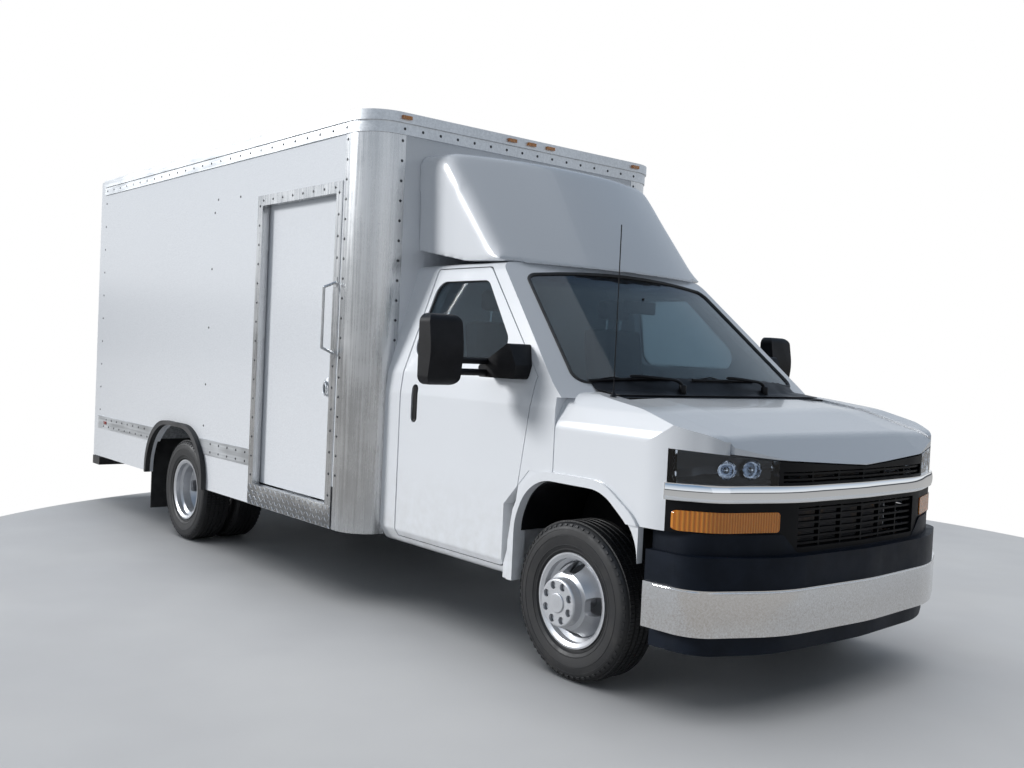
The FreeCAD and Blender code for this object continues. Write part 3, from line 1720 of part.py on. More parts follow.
def right_front_rim():
    """Rim, hub with its cap over the lug nuts, and the brake rotor."""
    y, x = -front_track_half, at(0)
    face = y - disc_offset
    rim = wheel_rim(y, x, -1)
    inner_end = -kingpin_y - upright_outer_gap * 2 - stub_length
    hub = Part.makeCylinder(hub_radius, inner_end - face, vec(x, face, tyre_radius), vec(0, 1, 0))
    cap = turned(
        [
            (-disc_offset + disc_thick / 2, 0, 0),
            (-disc_offset + disc_thick / 2, cap_radius, 0),
            (-disc_offset - front_cap_reach + cap_step, cap_radius, cap_round),
            (-disc_offset - front_cap_reach + cap_step, cap_boss_radius, 0),
            (-disc_offset - front_cap_reach, cap_boss_radius, cap_round / 2),
            (-disc_offset - front_cap_reach, 0, 0),
        ],
        y,
        tyre_radius,
        x,
    )
    for hole in lug_row(face - front_cap_reach - overrun, x, cap_hole_radius, overrun + cap_hole_depth):
        cap = cap.cut(hole)
    rotor = Part.makeCylinder(
        rotor_radius, rotor_thick, vec(x, y - rotor_thick / 2 + rotor_inset / 2, tyre_radius),
        vec(0, 1, 0),
    )
    bore_end = face - front_cap_reach + hub_end_wall
    bore = Part.makeCylinder(
        spindle_radius + spindle_fit, inner_end - bore_end + overrun, vec(
            x, bore_end, tyre_radius
        ), vec(0, 1, 0)
    )
    nuts = lug_row(
        face - front_cap_reach + cap_hole_depth - lug_height / 2, x, lug_radius,
        lug_height / 2 + overrun / 2,
    )
    return fuse([rim, hub, cap, rotor] + nuts).cut(bore)


def right_knuckle():
    """Upright on the kingpin line, with the wheel's spindle and the steering arm."""
    x = at(0)
    inner = -kingpin_y + upright_thick - upright_outer_gap
    outer = -kingpin_y - upright_outer_gap
    low, high = tyre_radius - upright_half_height, tyre_radius + upright_half_height
    upright = block(x - upright_half_width, x + upright_half_width, outer, inner, low, high)
    pin_space_low = Part.makeCylinder(
        ball_stud_radius + ball_stud_fit, ball_stud_depth + overrun, vec(x, -kingpin_y, low - overrun)
    )
    pin_space_high = Part.makeCylinder(
        ball_stud_radius + ball_stud_fit, ball_stud_depth + overrun,
        vec(x, -kingpin_y, high - ball_stud_depth),
    )
    boss = Part.makeCylinder(
        ball_stud_radius * 2, high - low, vec(x, -kingpin_y + ball_stud_radius / 2, low)
    )
    end_y = -front_track_half - disc_offset - front_cap_reach + hub_end_wall + spindle_end_gap
    spindle = Part.makeCylinder(spindle_radius, outer - end_y, vec(x, end_y, tyre_radius), vec(0, 1, 0))
    stub = Part.makeCylinder(
        stub_radius, stub_length, vec(x, outer - stub_length, tyre_radius), vec(0, 1, 0)
    )
    arm = block(
        x - steer_arm_length, x, inner - steer_arm_half * 2, inner, tyre_radius - steer_arm_half, tyre_radius + steer_arm_half
    )
    return fuse([upright, boss, spindle, stub, arm]).cut(pin_space_low).cut(pin_space_high)


def right_rear_rims():
    y_out = -rear_track_half - dual_half_spacing
    y_in = -rear_track_half + dual_half_spacing
    x = at(-wheelbase)
    outer = wheel_rim(y_out, x, 1)
    inner = wheel_rim(y_in, x, -1)
    face = y_out + disc_offset - disc_thick
    end = face - rear_hub_reach
    hub_inner = y_in - disc_offset + rear_hub_reach
    hub = Part.makeCylinder(hub_radius, hub_inner - end, vec(x, end, tyre_radius), vec(0, 1, 0))
    hub = hub.makeFillet(
        cap_round, [e for e in hub.Edges if abs(e.CenterOfMass.y - hub.BoundBox.YMin) < tolerance]
    )
    bore = Part.makeCylinder(
        spindle_radius + spindle_fit, hub_inner - end - hub_end_wall + overrun, vec(
            x, end + hub_end_wall, tyre_radius
        ), vec(0, 1, 0)
    )
    return fuse([outer, inner, hub] + lug_row(face - lug_height, x, lug_radius, lug_height)).cut(bore)


def rear_axle():
    """Banjo housing with its tubes and the two hub spindles."""
    x = at(-wheelbase)
    y_in = rear_track_half - dual_half_spacing
    tube_end = y_in + disc_offset - rear_hub_reach - spindle_end_gap
    tube = Part.makeCylinder(
        axle_tube_radius, tube_end * 2, vec(x, -tube_end, tyre_radius), vec(0, 1, 0)
    )
    diff = Part.makeSphere(diff_radius, vec(x, 0, tyre_radius))
    drum = Part.makeCylinder(
        diff_radius * 0.85, diff_half_width * 2, vec(x - diff_half_width, 0, tyre_radius), vec(1, 0, 0)
    )
    diff = diff.common(
        block(x - diff_radius, x + diff_radius, -diff_half_width, diff_half_width, 0, tyre_radius * 2)
    )
    y_out = rear_track_half + dual_half_spacing
    spindle_end = y_out - disc_offset + disc_thick + rear_hub_reach - hub_end_wall - spindle_end_gap
    spindle = Part.makeCylinder(
        spindle_radius, spindle_end * 2, vec(x, -spindle_end, tyre_radius), vec(0, 1, 0)
    )
    nose = Part.makeCylinder(joint_radius, diff_radius, vec(x, 0, tyre_radius), vec(1, 0, 0))
    return fuse([tube, diff, drum, nose, spindle])


def frame_rails():
    """Two channel rails with round cross tubes."""
    rear, front = at(box_rear) + rear_post_depth, at(rail_front)
    rail = block(
        rear, front, -rail_centre_y - rail_width / 2, -rail_centre_y + rail_width / 2, rail_bottom,
        rail_top,
    )
    hollow = block(
        rear - overrun, front + overrun, -rail_centre_y - rail_width / 2 + rail_wall, -rail_centre_y + rail_width,
        rail_bottom + rail_wall, rail_top - rail_wall,
    )
    rail = rail.cut(hollow)
    pieces = [rail, mirrored(rail)]
    reach = rail_centre_y + rail_width / 2 - rail_wall / 2
    for tube_x in cross_tube_x:
        start = vec(at(tube_x), -reach, (rail_bottom + rail_top) / 2)
        pieces.append(Part.makeCylinder(cross_tube_radius, reach * 2, start, vec(0, 1, 0)))
    return fuse(pieces)


def suspension():
    """Front crossmember with its control arms and coils, and the rear leaf springs."""
    x = at(0)
    half = crossmember_half
    cross = block(
        x - half, x + half, -arm_root_y, arm_root_y, crossmember_bottom,
        crossmember_bottom + arm_thick * 2,
    )
    tower = block(
        x - half, x + half, -arm_root_y, -rail_centre_y + rail_width / 2, crossmember_bottom, rail_bottom
    )
    pieces = [cross, tower, mirrored(tower)]
    for z, stud in (
        (tyre_radius - upright_half_height - arm_gap - arm_thick, 1),
        (tyre_radius + upright_half_height + arm_gap, -1),
    ):
        plan = [
            (x - arm_root_half, -arm_root_y + arm_thick, 0),
            (x + arm_root_half, -arm_root_y + arm_thick, 0),
            (x + arm_root_half, -arm_root_y - arm_thick, arm_thick),
            (x + arm_end_half * 1.5, -kingpin_y - arm_end_half, arm_end_half),
            (x - arm_end_half * 1.5, -kingpin_y - arm_end_half, arm_end_half),
            (x - arm_root_half, -arm_root_y - arm_thick, arm_thick),
        ]
        arm = plan_prism(plan, z, z + arm_thick)
        start = z + arm_thick if stud > 0 else z
        pin = Part.makeCylinder(
            ball_stud_radius, arm_gap + ball_stud_depth - arm_gap / 2, vec(x, -kingpin_y, start),
            vec(0, 0, stud),
        )
        pieces += [arm, pin, mirrored(arm), mirrored(pin)]
    riser = block(
        x - half, x + half, -arm_root_y, -rail_centre_y - rail_width / 2,
        tyre_radius - upright_half_height - arm_gap - arm_thick, rail_bottom + arm_thick,
    )
    pieces += [riser, mirrored(riser)]
    front = fuse(pieces)
    leaf = leaf_spring()
    return [front, leaf, mirrored(leaf)]


def leaf_spring():
    """Curved leaf pack clamped under the rail, over the axle tube."""
    x = at(-wheelbase)
    z = tyre_radius + axle_tube_radius
    ends = (spring_half_length, -spring_half_length)
    low = Part.Arc(
        vec(
            x + ends[0], -spring_y, z + spring_rise
        ), vec(x, -spring_y, z), vec(x + ends[1], -spring_y, z + spring_rise)
    ).toShape()
    high = Part.Arc(
        vec(x + ends[1], -spring_y, z + spring_rise + spring_thick / 3),
        vec(x, -spring_y, z + spring_thick),
        vec(x + ends[0], -spring_y, z + spring_rise + spring_thick / 3),
    ).toShape()
    sides = [
        Part.makeLine(low.Vertexes[-1].Point, high.Vertexes[0].Point),
        Part.makeLine(high.Vertexes[-1].Point, low.Vertexes[0].Point),
    ]
    face = Part.Face(Part.Wire([low, sides[0], high, sides[1]]))
    pack = face.extrude(vec(0, spring_half_width * 2, 0))
    pack.translate(vec(0, -spring_half_width, 0))
    hangers = []
    for end in ends:
        hangers.append(
            block(
                x + end - hanger_half, x + end + hanger_half, -spring_y - spring_half_width, -rail_centre_y - rail_width / 2,
                z + spring_rise, rail_bottom + arm_thick,
            )
        )
    return fuse([pack] + hangers)


def powertrain():
    """Engine as one plain block, gearbox and the two-piece drive shaft."""
    block_ = block(
        at(engine_rear), at(engine_front), -engine_half_width, engine_half_width, engine_bottom,
        engine_top,
    )
    box_start = vec(at(engine_rear), 0, gearbox_z)
    gearbox = Part.makeCone(
        gearbox_radius, gearbox_radius * 2 / 3, gearbox_length, box_start, vec(-1, 0, 0)
    )
    start = vec(at(engine_rear) - gearbox_length, 0, gearbox_z)
    end = vec(at(-wheelbase) + diff_radius + joint_radius / 2, 0, tyre_radius)
    shaft = rod(start, end, shaft_radius)
    joints = [Part.makeSphere(joint_radius, start - vec(joint_radius, 0, 0))]
    cup = Part.makeCylinder(
        joint_radius, joint_radius / 2, vec(at(-wheelbase) + diff_radius, 0, tyre_radius), vec(1, 0, 0)
    )
    return fuse([block_, gearbox, shaft, cup] + joints)


def radiator():
    """Cooling pack and the crossbeam that holds it on the rails."""
    core = block(
        at(radiator_x) - radiator_thick, at(radiator_x), -radiator_half, radiator_half, radiator_bottom, radiator_top
    )
    beam = block(
        at(radiator_x) - radiator_thick, at(radiator_x), -rail_centre_y - rail_width / 2, rail_centre_y + rail_width / 2,
        rail_top, rail_top + arm_thick,
    )
    stop = Part.makeCylinder(
        hood_stop_radius, crown_z - radiator_top, vec(
            at(radiator_x) - radiator_thick / 2, -hood_stop_y, radiator_top
        )
    )
    stop = stop.common(nose_solid(hood_thick + glass_gap, hood_thick + glass_gap))
    return fuse([core, beam, stop, mirrored(stop)])


def fuel_tank():
    tank = section_prism(
        [
            (tank_inner_y, tank_bottom, tank_round),
            (tank_outer_y, tank_bottom, tank_round),
            (tank_outer_y, tank_top, tank_round),
            (tank_inner_y, tank_top, tank_round),
        ],
        at(tank_rear),
        at(tank_front),
    )
    hangers = []
    for share in (1 / 4, 3 / 4):
        x = at(tank_rear + (tank_front - tank_rear) * share)
        hangers.append(
            block(
                x - strap_half, x + strap_half, rail_centre_y + rail_width / 2,
                tank_inner_y + tank_round, rail_bottom + arm_thick, tank_top - tank_round,
            )
        )
    return fuse([tank] + hangers)


def exhaust():
    """Pipe and silencer between the rails, with the tail pipe out behind the right wheels."""
    path = [
        vec(at(engine_rear) - exhaust_bend * 3, exhaust_y, exhaust_z),
        vec(at(muffler_front), exhaust_y, exhaust_z),
        vec(at(muffler_front) - muffler_length, exhaust_y, exhaust_z),
    ]
    pipe = rod(path[0], path[2], exhaust_radius)
    can = rod(path[1], path[2], muffler_radius)
    hanger = block(
        path[1].x - muffler_length / 2 - strap_half, path[1].x - muffler_length / 2 + strap_half,
        -rail_centre_y + rail_wall - rail_width / 2, exhaust_y, exhaust_z + muffler_radius / 2, exhaust_z + muffler_radius / 2 + arm_thick,
    )
    drop = block(
        path[1].x - muffler_length / 2 - strap_half, path[1].x - muffler_length / 2 + strap_half,
        -rail_centre_y - rail_width / 2, -rail_centre_y, exhaust_z + muffler_radius / 2, rail_bottom,
    )
    return fuse([pipe, can, hanger, drop])


def save(name, shape):
    if isinstance(shape, list):
        shape = Part.makeCompound(shape)
    if not shape.Solids:
        raise ValueError(name + " has no solid")
    solids = shape.Solids
    result = solids[0] if len(solids) == 1 else Part.makeCompound(solids)
    result.exportStep(os.path.join("parts", name + ".step"))
    print(name, len(solids), "valid" if result.isValid() else "INVALID", [round(v) for v in (
        result.BoundBox.XMin, result.BoundBox.XMax, result.BoundBox.YMin, result.BoundBox.YMax,
        result.BoundBox.ZMin, result.BoundBox.ZMax)])


def main():
    os.makedirs("parts", exist_ok=True)
    save("frame_rails", frame_rails())
    save("suspension", suspension())
    save("rear_axle", rear_axle())
    save("powertrain", powertrain())
    save("radiator", radiator())
    save("fuel_tank", fuel_tank())
    save("exhaust", exhaust())
    save("cab_shell", cab_shell())
    save("windshield", windshield())
    save("fenders", both_sides(right_fender()))
    save("wheel_liners", both_sides(right_liner()))
    save("hood", hood())
    save("headlamps", headlamps())
    save("amber_lamps", front_amber() + front_markers())
    save("grille", grille())
    save("chrome_trim", [chrome_bar(), bumper_bar()])
    save("bumper_plastic", [bumper_pad(), valance()])
    save("cowl_panel", cowl_panel())
    save("antenna", antenna())
    save("dashboard", dashboard())
    save("steering_wheel", steering_wheel())
    save("seats", [seat(seat_y), seat(-seat_y)])
    save("cab_fairing", fairing())
    save("box_floor", box_floor())
    save("box_wall_right", right_wall())
    save("box_wall_left", left_wall())
    save("box_front_wall", front_wall())
    save("box_roof", box_roof())
    save("corner_posts", corner_posts())
    save("body_rails", body_rails())
    save("box_skirts", skirts())
    save("rear_frame", rear_frame())
    save("rear_door", roll_door())
    save("side_door", slide_door())
    save("side_door_frame", [side_door_frame(), slide_track()])
    save("arch_rubber", arch_rubber())
    save("rear_bumper", rear_bumper())
    save("tail_lamps", tail_lamps())
    door, glass, mirror_piece = right_door(), right_door_glass(), right_mirror()
    save("door_right", door)
    save("door_left", mirrored(door))
    save("door_glass_right", glass)
    save("door_glass_left", mirrored(glass))
    save("mirror_right", mirror_piece)
    save("mirror_left", mirrored(mirror_piece))
    knuckle, rim, front_tyre = right_knuckle(), right_front_rim(), tyre(-front_track_half, at(0))
    save("knuckle_right", knuckle)
    save("knuckle_left", mirrored(knuckle))
    save("rim_front_right", rim)
    save("rim_front_left", mirrored(rim))
    save("tyre_front_right", front_tyre)
    save("tyre_front_left", mirrored(front_tyre))
    rims = right_rear_rims()
    tyres = [tyre(-rear_track_half + s * dual_half_spacing, at(-wheelbase)) for s in (-1, 1)]
    save("rims_rear_right", rims)
    save("rims_rear_left", mirrored(rims))
    save("tyres_rear_right", tyres)
    save("tyres_rear_left", [mirrored(t) for t in tyres])


main()
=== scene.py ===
import bpy
import json
import math
from mathutils import Matrix, Vector

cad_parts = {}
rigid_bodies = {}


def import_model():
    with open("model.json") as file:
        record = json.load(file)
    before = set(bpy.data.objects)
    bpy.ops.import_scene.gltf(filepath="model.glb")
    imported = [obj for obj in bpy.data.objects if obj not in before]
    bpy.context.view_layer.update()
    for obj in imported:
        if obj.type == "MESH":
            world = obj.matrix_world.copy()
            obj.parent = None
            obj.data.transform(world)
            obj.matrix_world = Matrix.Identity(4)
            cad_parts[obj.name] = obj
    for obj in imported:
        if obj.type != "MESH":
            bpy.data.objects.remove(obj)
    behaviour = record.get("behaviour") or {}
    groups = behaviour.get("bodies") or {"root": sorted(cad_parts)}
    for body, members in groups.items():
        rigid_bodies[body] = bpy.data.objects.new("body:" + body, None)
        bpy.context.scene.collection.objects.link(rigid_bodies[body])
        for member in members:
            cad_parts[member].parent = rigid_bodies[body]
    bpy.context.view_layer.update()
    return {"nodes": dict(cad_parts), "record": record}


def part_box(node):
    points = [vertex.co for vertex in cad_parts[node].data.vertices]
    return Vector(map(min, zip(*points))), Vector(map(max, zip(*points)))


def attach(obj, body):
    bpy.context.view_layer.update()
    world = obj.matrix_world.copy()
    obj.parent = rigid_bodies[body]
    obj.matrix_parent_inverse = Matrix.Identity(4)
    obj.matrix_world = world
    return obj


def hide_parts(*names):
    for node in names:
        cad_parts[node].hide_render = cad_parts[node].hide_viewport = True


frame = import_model()
nodes = frame["nodes"]
sides = (("left", 1), ("right", -1))
mergeWithin = 0.0002  # a copied node's loose triangles join at corners this close
print("truck loaded with", len(nodes), "nodes")


def deselectAll():
    if bpy.context.object and bpy.context.object.mode != "OBJECT":
        bpy.ops.object.mode_set(mode="OBJECT")
    bpy.ops.object.select_all(action="DESELECT")


def activate(piece):
    deselectAll()
    piece.select_set(True)
    bpy.context.view_layer.objects.active = piece


def applyAll(piece):
    activate(piece)
    for modifier in list(piece.modifiers):
        bpy.ops.object.modifier_apply(modifier=modifier.name)


# the place goes into the mesh, then come shading, finish and body
def settle(piece, slotName, body, smoothAngle, finishName=None):
    activate(piece)
    bpy.ops.object.transform_apply(location=True, rotation=True, scale=True)
    bpy.ops.object.shade_smooth_by_angle(angle=math.radians(smoothAngle))
    piece.data.materials.clear()
    piece.data.materials.append(finishes[finishName or slotName])
    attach(piece, body)


def joined(pieces, name):
    deselectAll()
    for piece in pieces:
        piece.select_set(True)
    bpy.context.view_layer.objects.active = pieces[0]
    if len(pieces) > 1:
        bpy.ops.object.join()
    result = bpy.context.object
    result.name = name
    result.data.name = name
    return result


def blockPiece(name, low, high, bevel=0.0, segments=2):
    deselectAll()
    centre = [(a + b) / 2 for a, b in zip(low, high)]
    size = [abs(b - a) for a, b in zip(low, high)]
    bpy.ops.mesh.primitive_cube_add(size=1, location=centre, scale=size)
    piece = bpy.context.object
    piece.name = name
    bpy.ops.object.transform_apply(location=True, rotation=True, scale=True)
    if bevel:
        edge = piece.modifiers.new("softEdge", "BEVEL")
        edge.width, edge.segments, edge.limit_method = bevel, segments, "ANGLE"
        applyAll(piece)
    return piece


# a round tube along the points, or a tube of the section's own outline
def tubePiece(name, points, radius, cyclic=False, section=None):
    curve = bpy.data.curves.new(name, "CURVE")
    curve.dimensions, curve.use_fill_caps = "3D", True
    curve.bevel_depth, curve.bevel_resolution, curve.resolution_u = radius, 3, 8
    run = curve.splines.new("NURBS")
    run.points.add(len(points) - 1)
    for spot, point in zip(run.points, points):
        spot.co = (*point, 1)
    run.order_u, run.use_endpoint_u, run.use_cyclic_u = 3, not cyclic, cyclic
    if section:
        bpy.context.scene.collection.objects.link(section)
        curve.bevel_mode, curve.bevel_object, curve.twist_mode = "OBJECT", section, "Z_UP"
    piece = bpy.data.objects.new(name, curve)
    bpy.context.scene.collection.objects.link(piece)
    activate(piece)
    bpy.ops.object.convert(target="MESH")
    return bpy.context.object


# the profile holds pairs of place across and reach from the centre
def spunPiece(name, profile, centre, steps):
    deselectAll()
    x, y, z = centre
    bpy.ops.mesh.primitive_plane_add(size=0.01, location=(x, y + profile[0][0], z + profile[0][1]))
    piece = bpy.context.object
    piece.name = name
    bpy.ops.object.transform_apply(location=True, rotation=True, scale=True)
    bpy.ops.object.mode_set(mode="EDIT")
    bpy.ops.mesh.select_mode(type="VERT")
    bpy.ops.mesh.select_all(action="SELECT")
    bpy.ops.mesh.merge(type="CENTER")
    for (y0, r0), (y1, r1) in zip(profile, profile[1:]):
        bpy.ops.mesh.extrude_region_move(TRANSFORM_OT_translate={"value": (0, y1 - y0, r1 - r0)})
    bpy.ops.mesh.select_all(action="SELECT")
    bpy.ops.mesh.spin(steps=steps, angle=2 * math.pi, center=centre, axis=(0, 1, 0))
    bpy.ops.mesh.select_all(action="SELECT")
    bpy.ops.mesh.remove_doubles(threshold=0.00005)
    bpy.ops.mesh.normals_make_consistent(inside=False)
    bpy.ops.object.mode_set(mode="OBJECT")
    return piece


def copiesAt(model, name, places):
    made = []
    for place in places:
        copy = model.copy()
        copy.data = model.data.copy()
        bpy.context.scene.collection.objects.link(copy)
        copy.matrix_world = place @ model.matrix_world
        made.append(copy)
    bpy.data.objects.remove(model)
    return joined(made, name)


def editAll(piece):
    activate(piece)
    bpy.ops.object.mode_set(mode="EDIT")
    bpy.ops.mesh.select_all(action="SELECT")


def pickFaces(piece, wanted):
    activate(piece)
    bpy.ops.object.mode_set(mode="EDIT")
    bpy.ops.mesh.select_mode(type="FACE")
    bpy.ops.mesh.select_all(action="DESELECT")
    bpy.ops.object.mode_set(mode="OBJECT")
    for face in piece.data.polygons:
        face.select = wanted(face)
    bpy.ops.object.mode_set(mode="EDIT")


# a free copy of a CAD node, to cut up or wrap onto
def looseCopy(nodeName):
    copy = nodes[nodeName].copy()
    copy.data = nodes[nodeName].data.copy()
    copy.parent = None
    for key in list(copy.keys()):
        del copy[key]
    bpy.context.scene.collection.objects.link(copy)
    return copy


def onSide(corner, sign):
    return corner[0], sign * corner[1], corner[2]


def facing(spot, direction):
    turn = Vector(direction).to_track_quat("Z", "Y").to_matrix().to_4x4()
    return Matrix.Translation(spot) @ turn


# finishes, with their patterns on Object coordinates

def newFinish(name, colour, roughness, metallic=0.0, **sockets):
    material = bpy.data.materials.new(name)
    material.use_nodes = True
    shader = material.node_tree.nodes["Principled BSDF"]
    shader.inputs["Base Color"].default_value = (*colour, 1)
    shader.inputs["Roughness"].default_value = roughness
    shader.inputs["Metallic"].default_value = metallic
    for socket, value in sockets.items():
        shader.inputs[socket.replace("_", " ")].default_value = value
    return material


def addNode(material, kind, values=None, feed=None):
    node = material.node_tree.nodes.new(kind)
    for key, value in (values or {}).items():
        if key in node.inputs:
            node.inputs[key].default_value = value
        else:
            setattr(node, key, value)
    if feed is not None:
        material.node_tree.links.new(feed, node.inputs[0])
    return node


def objectPlace(material, stretch=(1, 1, 1)):
    coords = addNode(material, "ShaderNodeTexCoord")
    mapping = addNode(material, "ShaderNodeMapping", {"Scale": stretch}, coords.outputs["Object"])
    return mapping.outputs["Vector"]


def noiseAt(material, scale, detail=4.0, stretch=(1, 1, 1), roughness=0.55):
    values = {"Scale": scale, "Detail": detail, "Roughness": roughness}
    return addNode(material, "ShaderNodeTexNoise", values, objectPlace(material, stretch)).outputs["Fac"]


def waveAt(material, scale, direction):
    values = {"Scale": scale, "bands_direction": direction}
    return addNode(material, "ShaderNodeTexWave", values, objectPlace(material)).outputs["Fac"]


def tintBetween(material, factor, first, second, low=0.35, high=0.65):
    ramp = addNode(material, "ShaderNodeValToRGB", feed=factor)
    ramp.color_ramp.interpolation = "EASE"
    for stop, position, colour in zip(ramp.color_ramp.elements, (low, high), (first, second)):
        stop.position, stop.color = position, (*colour, 1)
    return ramp.outputs["Color"]


def rangeTo(material, factor, start, end, low=0.0, high=1.0, blend="LINEAR"):
    values = {"interpolation_type": blend, "From Min": start, "From Max": end, "To Min": low, "To Max": high}
    return addNode(material, "ShaderNodeMapRange", values, factor).outputs["Result"]


def spreadTo(material, factor, low, high):
    return rangeTo(material, factor, 0.25, 0.75, low, high, "SMOOTHSTEP")


def bumpFrom(material, height, strength, distance):
    bump = addNode(material, "ShaderNodeBump", {"Strength": strength, "Distance": distance})
    material.node_tree.links.new(height, bump.inputs["Height"])
    return bump.outputs["Normal"]


def wire(material, source, socket):
    shader = material.node_tree.nodes["Principled BSDF"]
    material.node_tree.links.new(source, shader.inputs[socket])


def placeParts(material):
    coords = addNode(material, "ShaderNodeTexCoord")
    return addNode(material, "ShaderNodeSeparateXYZ", feed=coords.outputs["Object"]).outputs


def mathNode(material, operation, first, second=0.0):
    node = addNode(material, "ShaderNodeMath", {"operation": operation})
    for index, value in ((0, first), (1, second)):
        if isinstance(value, (int, float)):
            node.inputs[index].default_value = value
        else:
            material.node_tree.links.new(value, node.inputs[index])
    return node.outputs[0]


def blendColour(material, factor, first, second):
    mix = addNode(material, "ShaderNodeMix", {"data_type": "RGBA"}, factor)
    for index, value in ((6, first), (7, second)):
        if isinstance(value, tuple):
            mix.inputs[index].default_value = (*value, 1)
        else:
            material.node_tree.links.new(value, mix.inputs[index])
    return mix.outputs[2]


paintCare = {"cabWhite": (0.80, 0.82, 0.85), "cabRipple": 0.02,
             "roadFilm": (0.62, 0.62, 0.61), "filmAbove": 0.9, "filmFull": 0.38, "filmTop": 0.55,
             "boxWhite": (0.80, 0.82, 0.85), "boxShade": (0.78, 0.80, 0.83), "boxRipple": 0.03}
chromeCare = {"clean": (0.82, 0.84, 0.86), "dust": (0.50, 0.46, 0.42), "dustAbove": 0.75, "dustFull": 0.45}
tints = {
    "zinc": ((0.40, 0.42, 0.44), (0.60, 0.62, 0.64)), "cast": ((0.09, 0.09, 0.095), (0.17, 0.13, 0.10)),
    "silver": ((0.47, 0.48, 0.50), (0.63, 0.64, 0.66)), "cloth": ((0.055, 0.055, 0.06), (0.09, 0.09, 0.096)),
    "tyre": ((0.009, 0.009, 0.010), (0.026, 0.025, 0.024)),
}


# white paint with road film that thickens towards the wheels
def cabPaint():
    material = newFinish("cabPaint", paintCare["cabWhite"], 0.24, Coat_Weight=0.4, Coat_Roughness=0.04)
    low = rangeTo(material, placeParts(material)[2], paintCare["filmAbove"], paintCare["filmFull"], 0.0,
                  paintCare["filmTop"])
    film = mathNode(material, "MULTIPLY", spreadTo(material, noiseAt(material, 14, 6), 0.0, 1.0), low)
    wire(material, blendColour(material, film, paintCare["cabWhite"], paintCare["roadFilm"]), "Base Color")
    peel = noiseAt(material, 260, 2)
    wire(material, spreadTo(material, peel, 0.21, 0.27), "Roughness")
    wire(material, bumpFrom(material, peel, paintCare["cabRipple"], 0.001), "Normal")
    return material


def boxPaint():
    material = newFinish("boxPaint", paintCare["boxWhite"], 0.30, Coat_Weight=0.4, Coat_Roughness=0.08)
    peel = noiseAt(material, 240, 3)
    wire(material, tintBetween(material, peel, paintCare["boxShade"], paintCare["boxWhite"]), "Base Color")
    wire(material, spreadTo(material, peel, 0.24, 0.30), "Roughness")
    wire(material, bumpFrom(material, peel, paintCare["boxRipple"], 0.001), "Normal")
    return material


def brushedMetal(name, dark, light, streak, roughness):
    material = newFinish(name, light, roughness, 1.0, Anisotropic=0.35)
    lines = noiseAt(material, 60, 6, streak, 0.7)
    cloud = noiseAt(material, 3, 5)
    worn = mathNode(material, "ADD", mathNode(material, "MULTIPLY", lines, 0.6),
                    mathNode(material, "MULTIPLY", cloud, 0.4))
    wire(material, tintBetween(material, worn, dark, light, 0.38, 0.62), "Base Color")
    wire(material, spreadTo(material, worn, roughness - 0.08, roughness + 0.12), "Roughness")
    wire(material, bumpFrom(material, lines, 0.08, 0.001), "Normal")
    return material


def zincCoat():
    material = newFinish("zincCoat", (0.52, 0.54, 0.56), 0.42, 0.85)
    cells = addNode(material, "ShaderNodeTexVoronoi", {"Scale": 70.0}, objectPlace(material)).outputs["Color"]
    spangle = addNode(material, "ShaderNodeSeparateXYZ", feed=cells).outputs[0]
    wire(material, tintBetween(material, spangle, *tints["zinc"], 0.1, 0.9), "Base Color")
    wire(material, spreadTo(material, noiseAt(material, 6, 5), 0.34, 0.52), "Roughness")
    wire(material, bumpFrom(material, noiseAt(material, 90, 3), 0.06, 0.001), "Normal")
    return material


# chrome that dulls with road dust below the grille bar
def mirrorChrome():
    material = newFinish("mirrorChrome", (0.80, 0.82, 0.84), 0.05, 1.0)
    film = noiseAt(material, 120, 8, (1, 1, 1), 0.8)
    low = rangeTo(material, placeParts(material)[2], chromeCare["dustAbove"], chromeCare["dustFull"])
    dust = mathNode(material, "MULTIPLY", low, spreadTo(material, film, 0.15, 1.0))
    wire(material, blendColour(material, dust, chromeCare["clean"], chromeCare["dust"]), "Base Color")
    wire(material, mathNode(material, "ADD", mathNode(material, "MULTIPLY", dust, 0.22), 0.04), "Roughness")
    wire(material, bumpFrom(material, noiseAt(material, 4, 2), 0.06, 0.01), "Normal")
    return material


def grainPlastic(name, dark, light, roughness, grain, strength, shine=0.5):
    material = newFinish(name, light, roughness, Specular_IOR_Level=shine)
    wire(material, tintBetween(material, noiseAt(material, 7, 6), dark, light), "Base Color")
    worn = noiseAt(material, 5, 4)
    wire(material, spreadTo(material, worn, roughness - 0.07, roughness + 0.1), "Roughness")
    wire(material, bumpFrom(material, noiseAt(material, grain, 3), strength, 0.0006), "Normal")
    return material


def castMetal():
    material = newFinish("castMetal", (0.10, 0.10, 0.105), 0.62, 0.6)
    wire(material, tintBetween(material, noiseAt(material, 8, 7), *tints["cast"], 0.5, 0.75), "Base Color")
    wire(material, bumpFrom(material, noiseAt(material, 120, 4), 0.4, 0.001), "Normal")
    return material


def silverPaint():
    material = newFinish("silverPaint", (0.55, 0.56, 0.58), 0.38, 0.55, Coat_Weight=0.3, Coat_Roughness=0.1)
    wire(material, tintBetween(material, noiseAt(material, 900, 2), *tints["silver"]), "Base Color")
    wire(material, spreadTo(material, noiseAt(material, 12, 5), 0.30, 0.46), "Roughness")
    wire(material, bumpFrom(material, noiseAt(material, 500, 2), 0.08, 0.0005), "Normal")
    return material


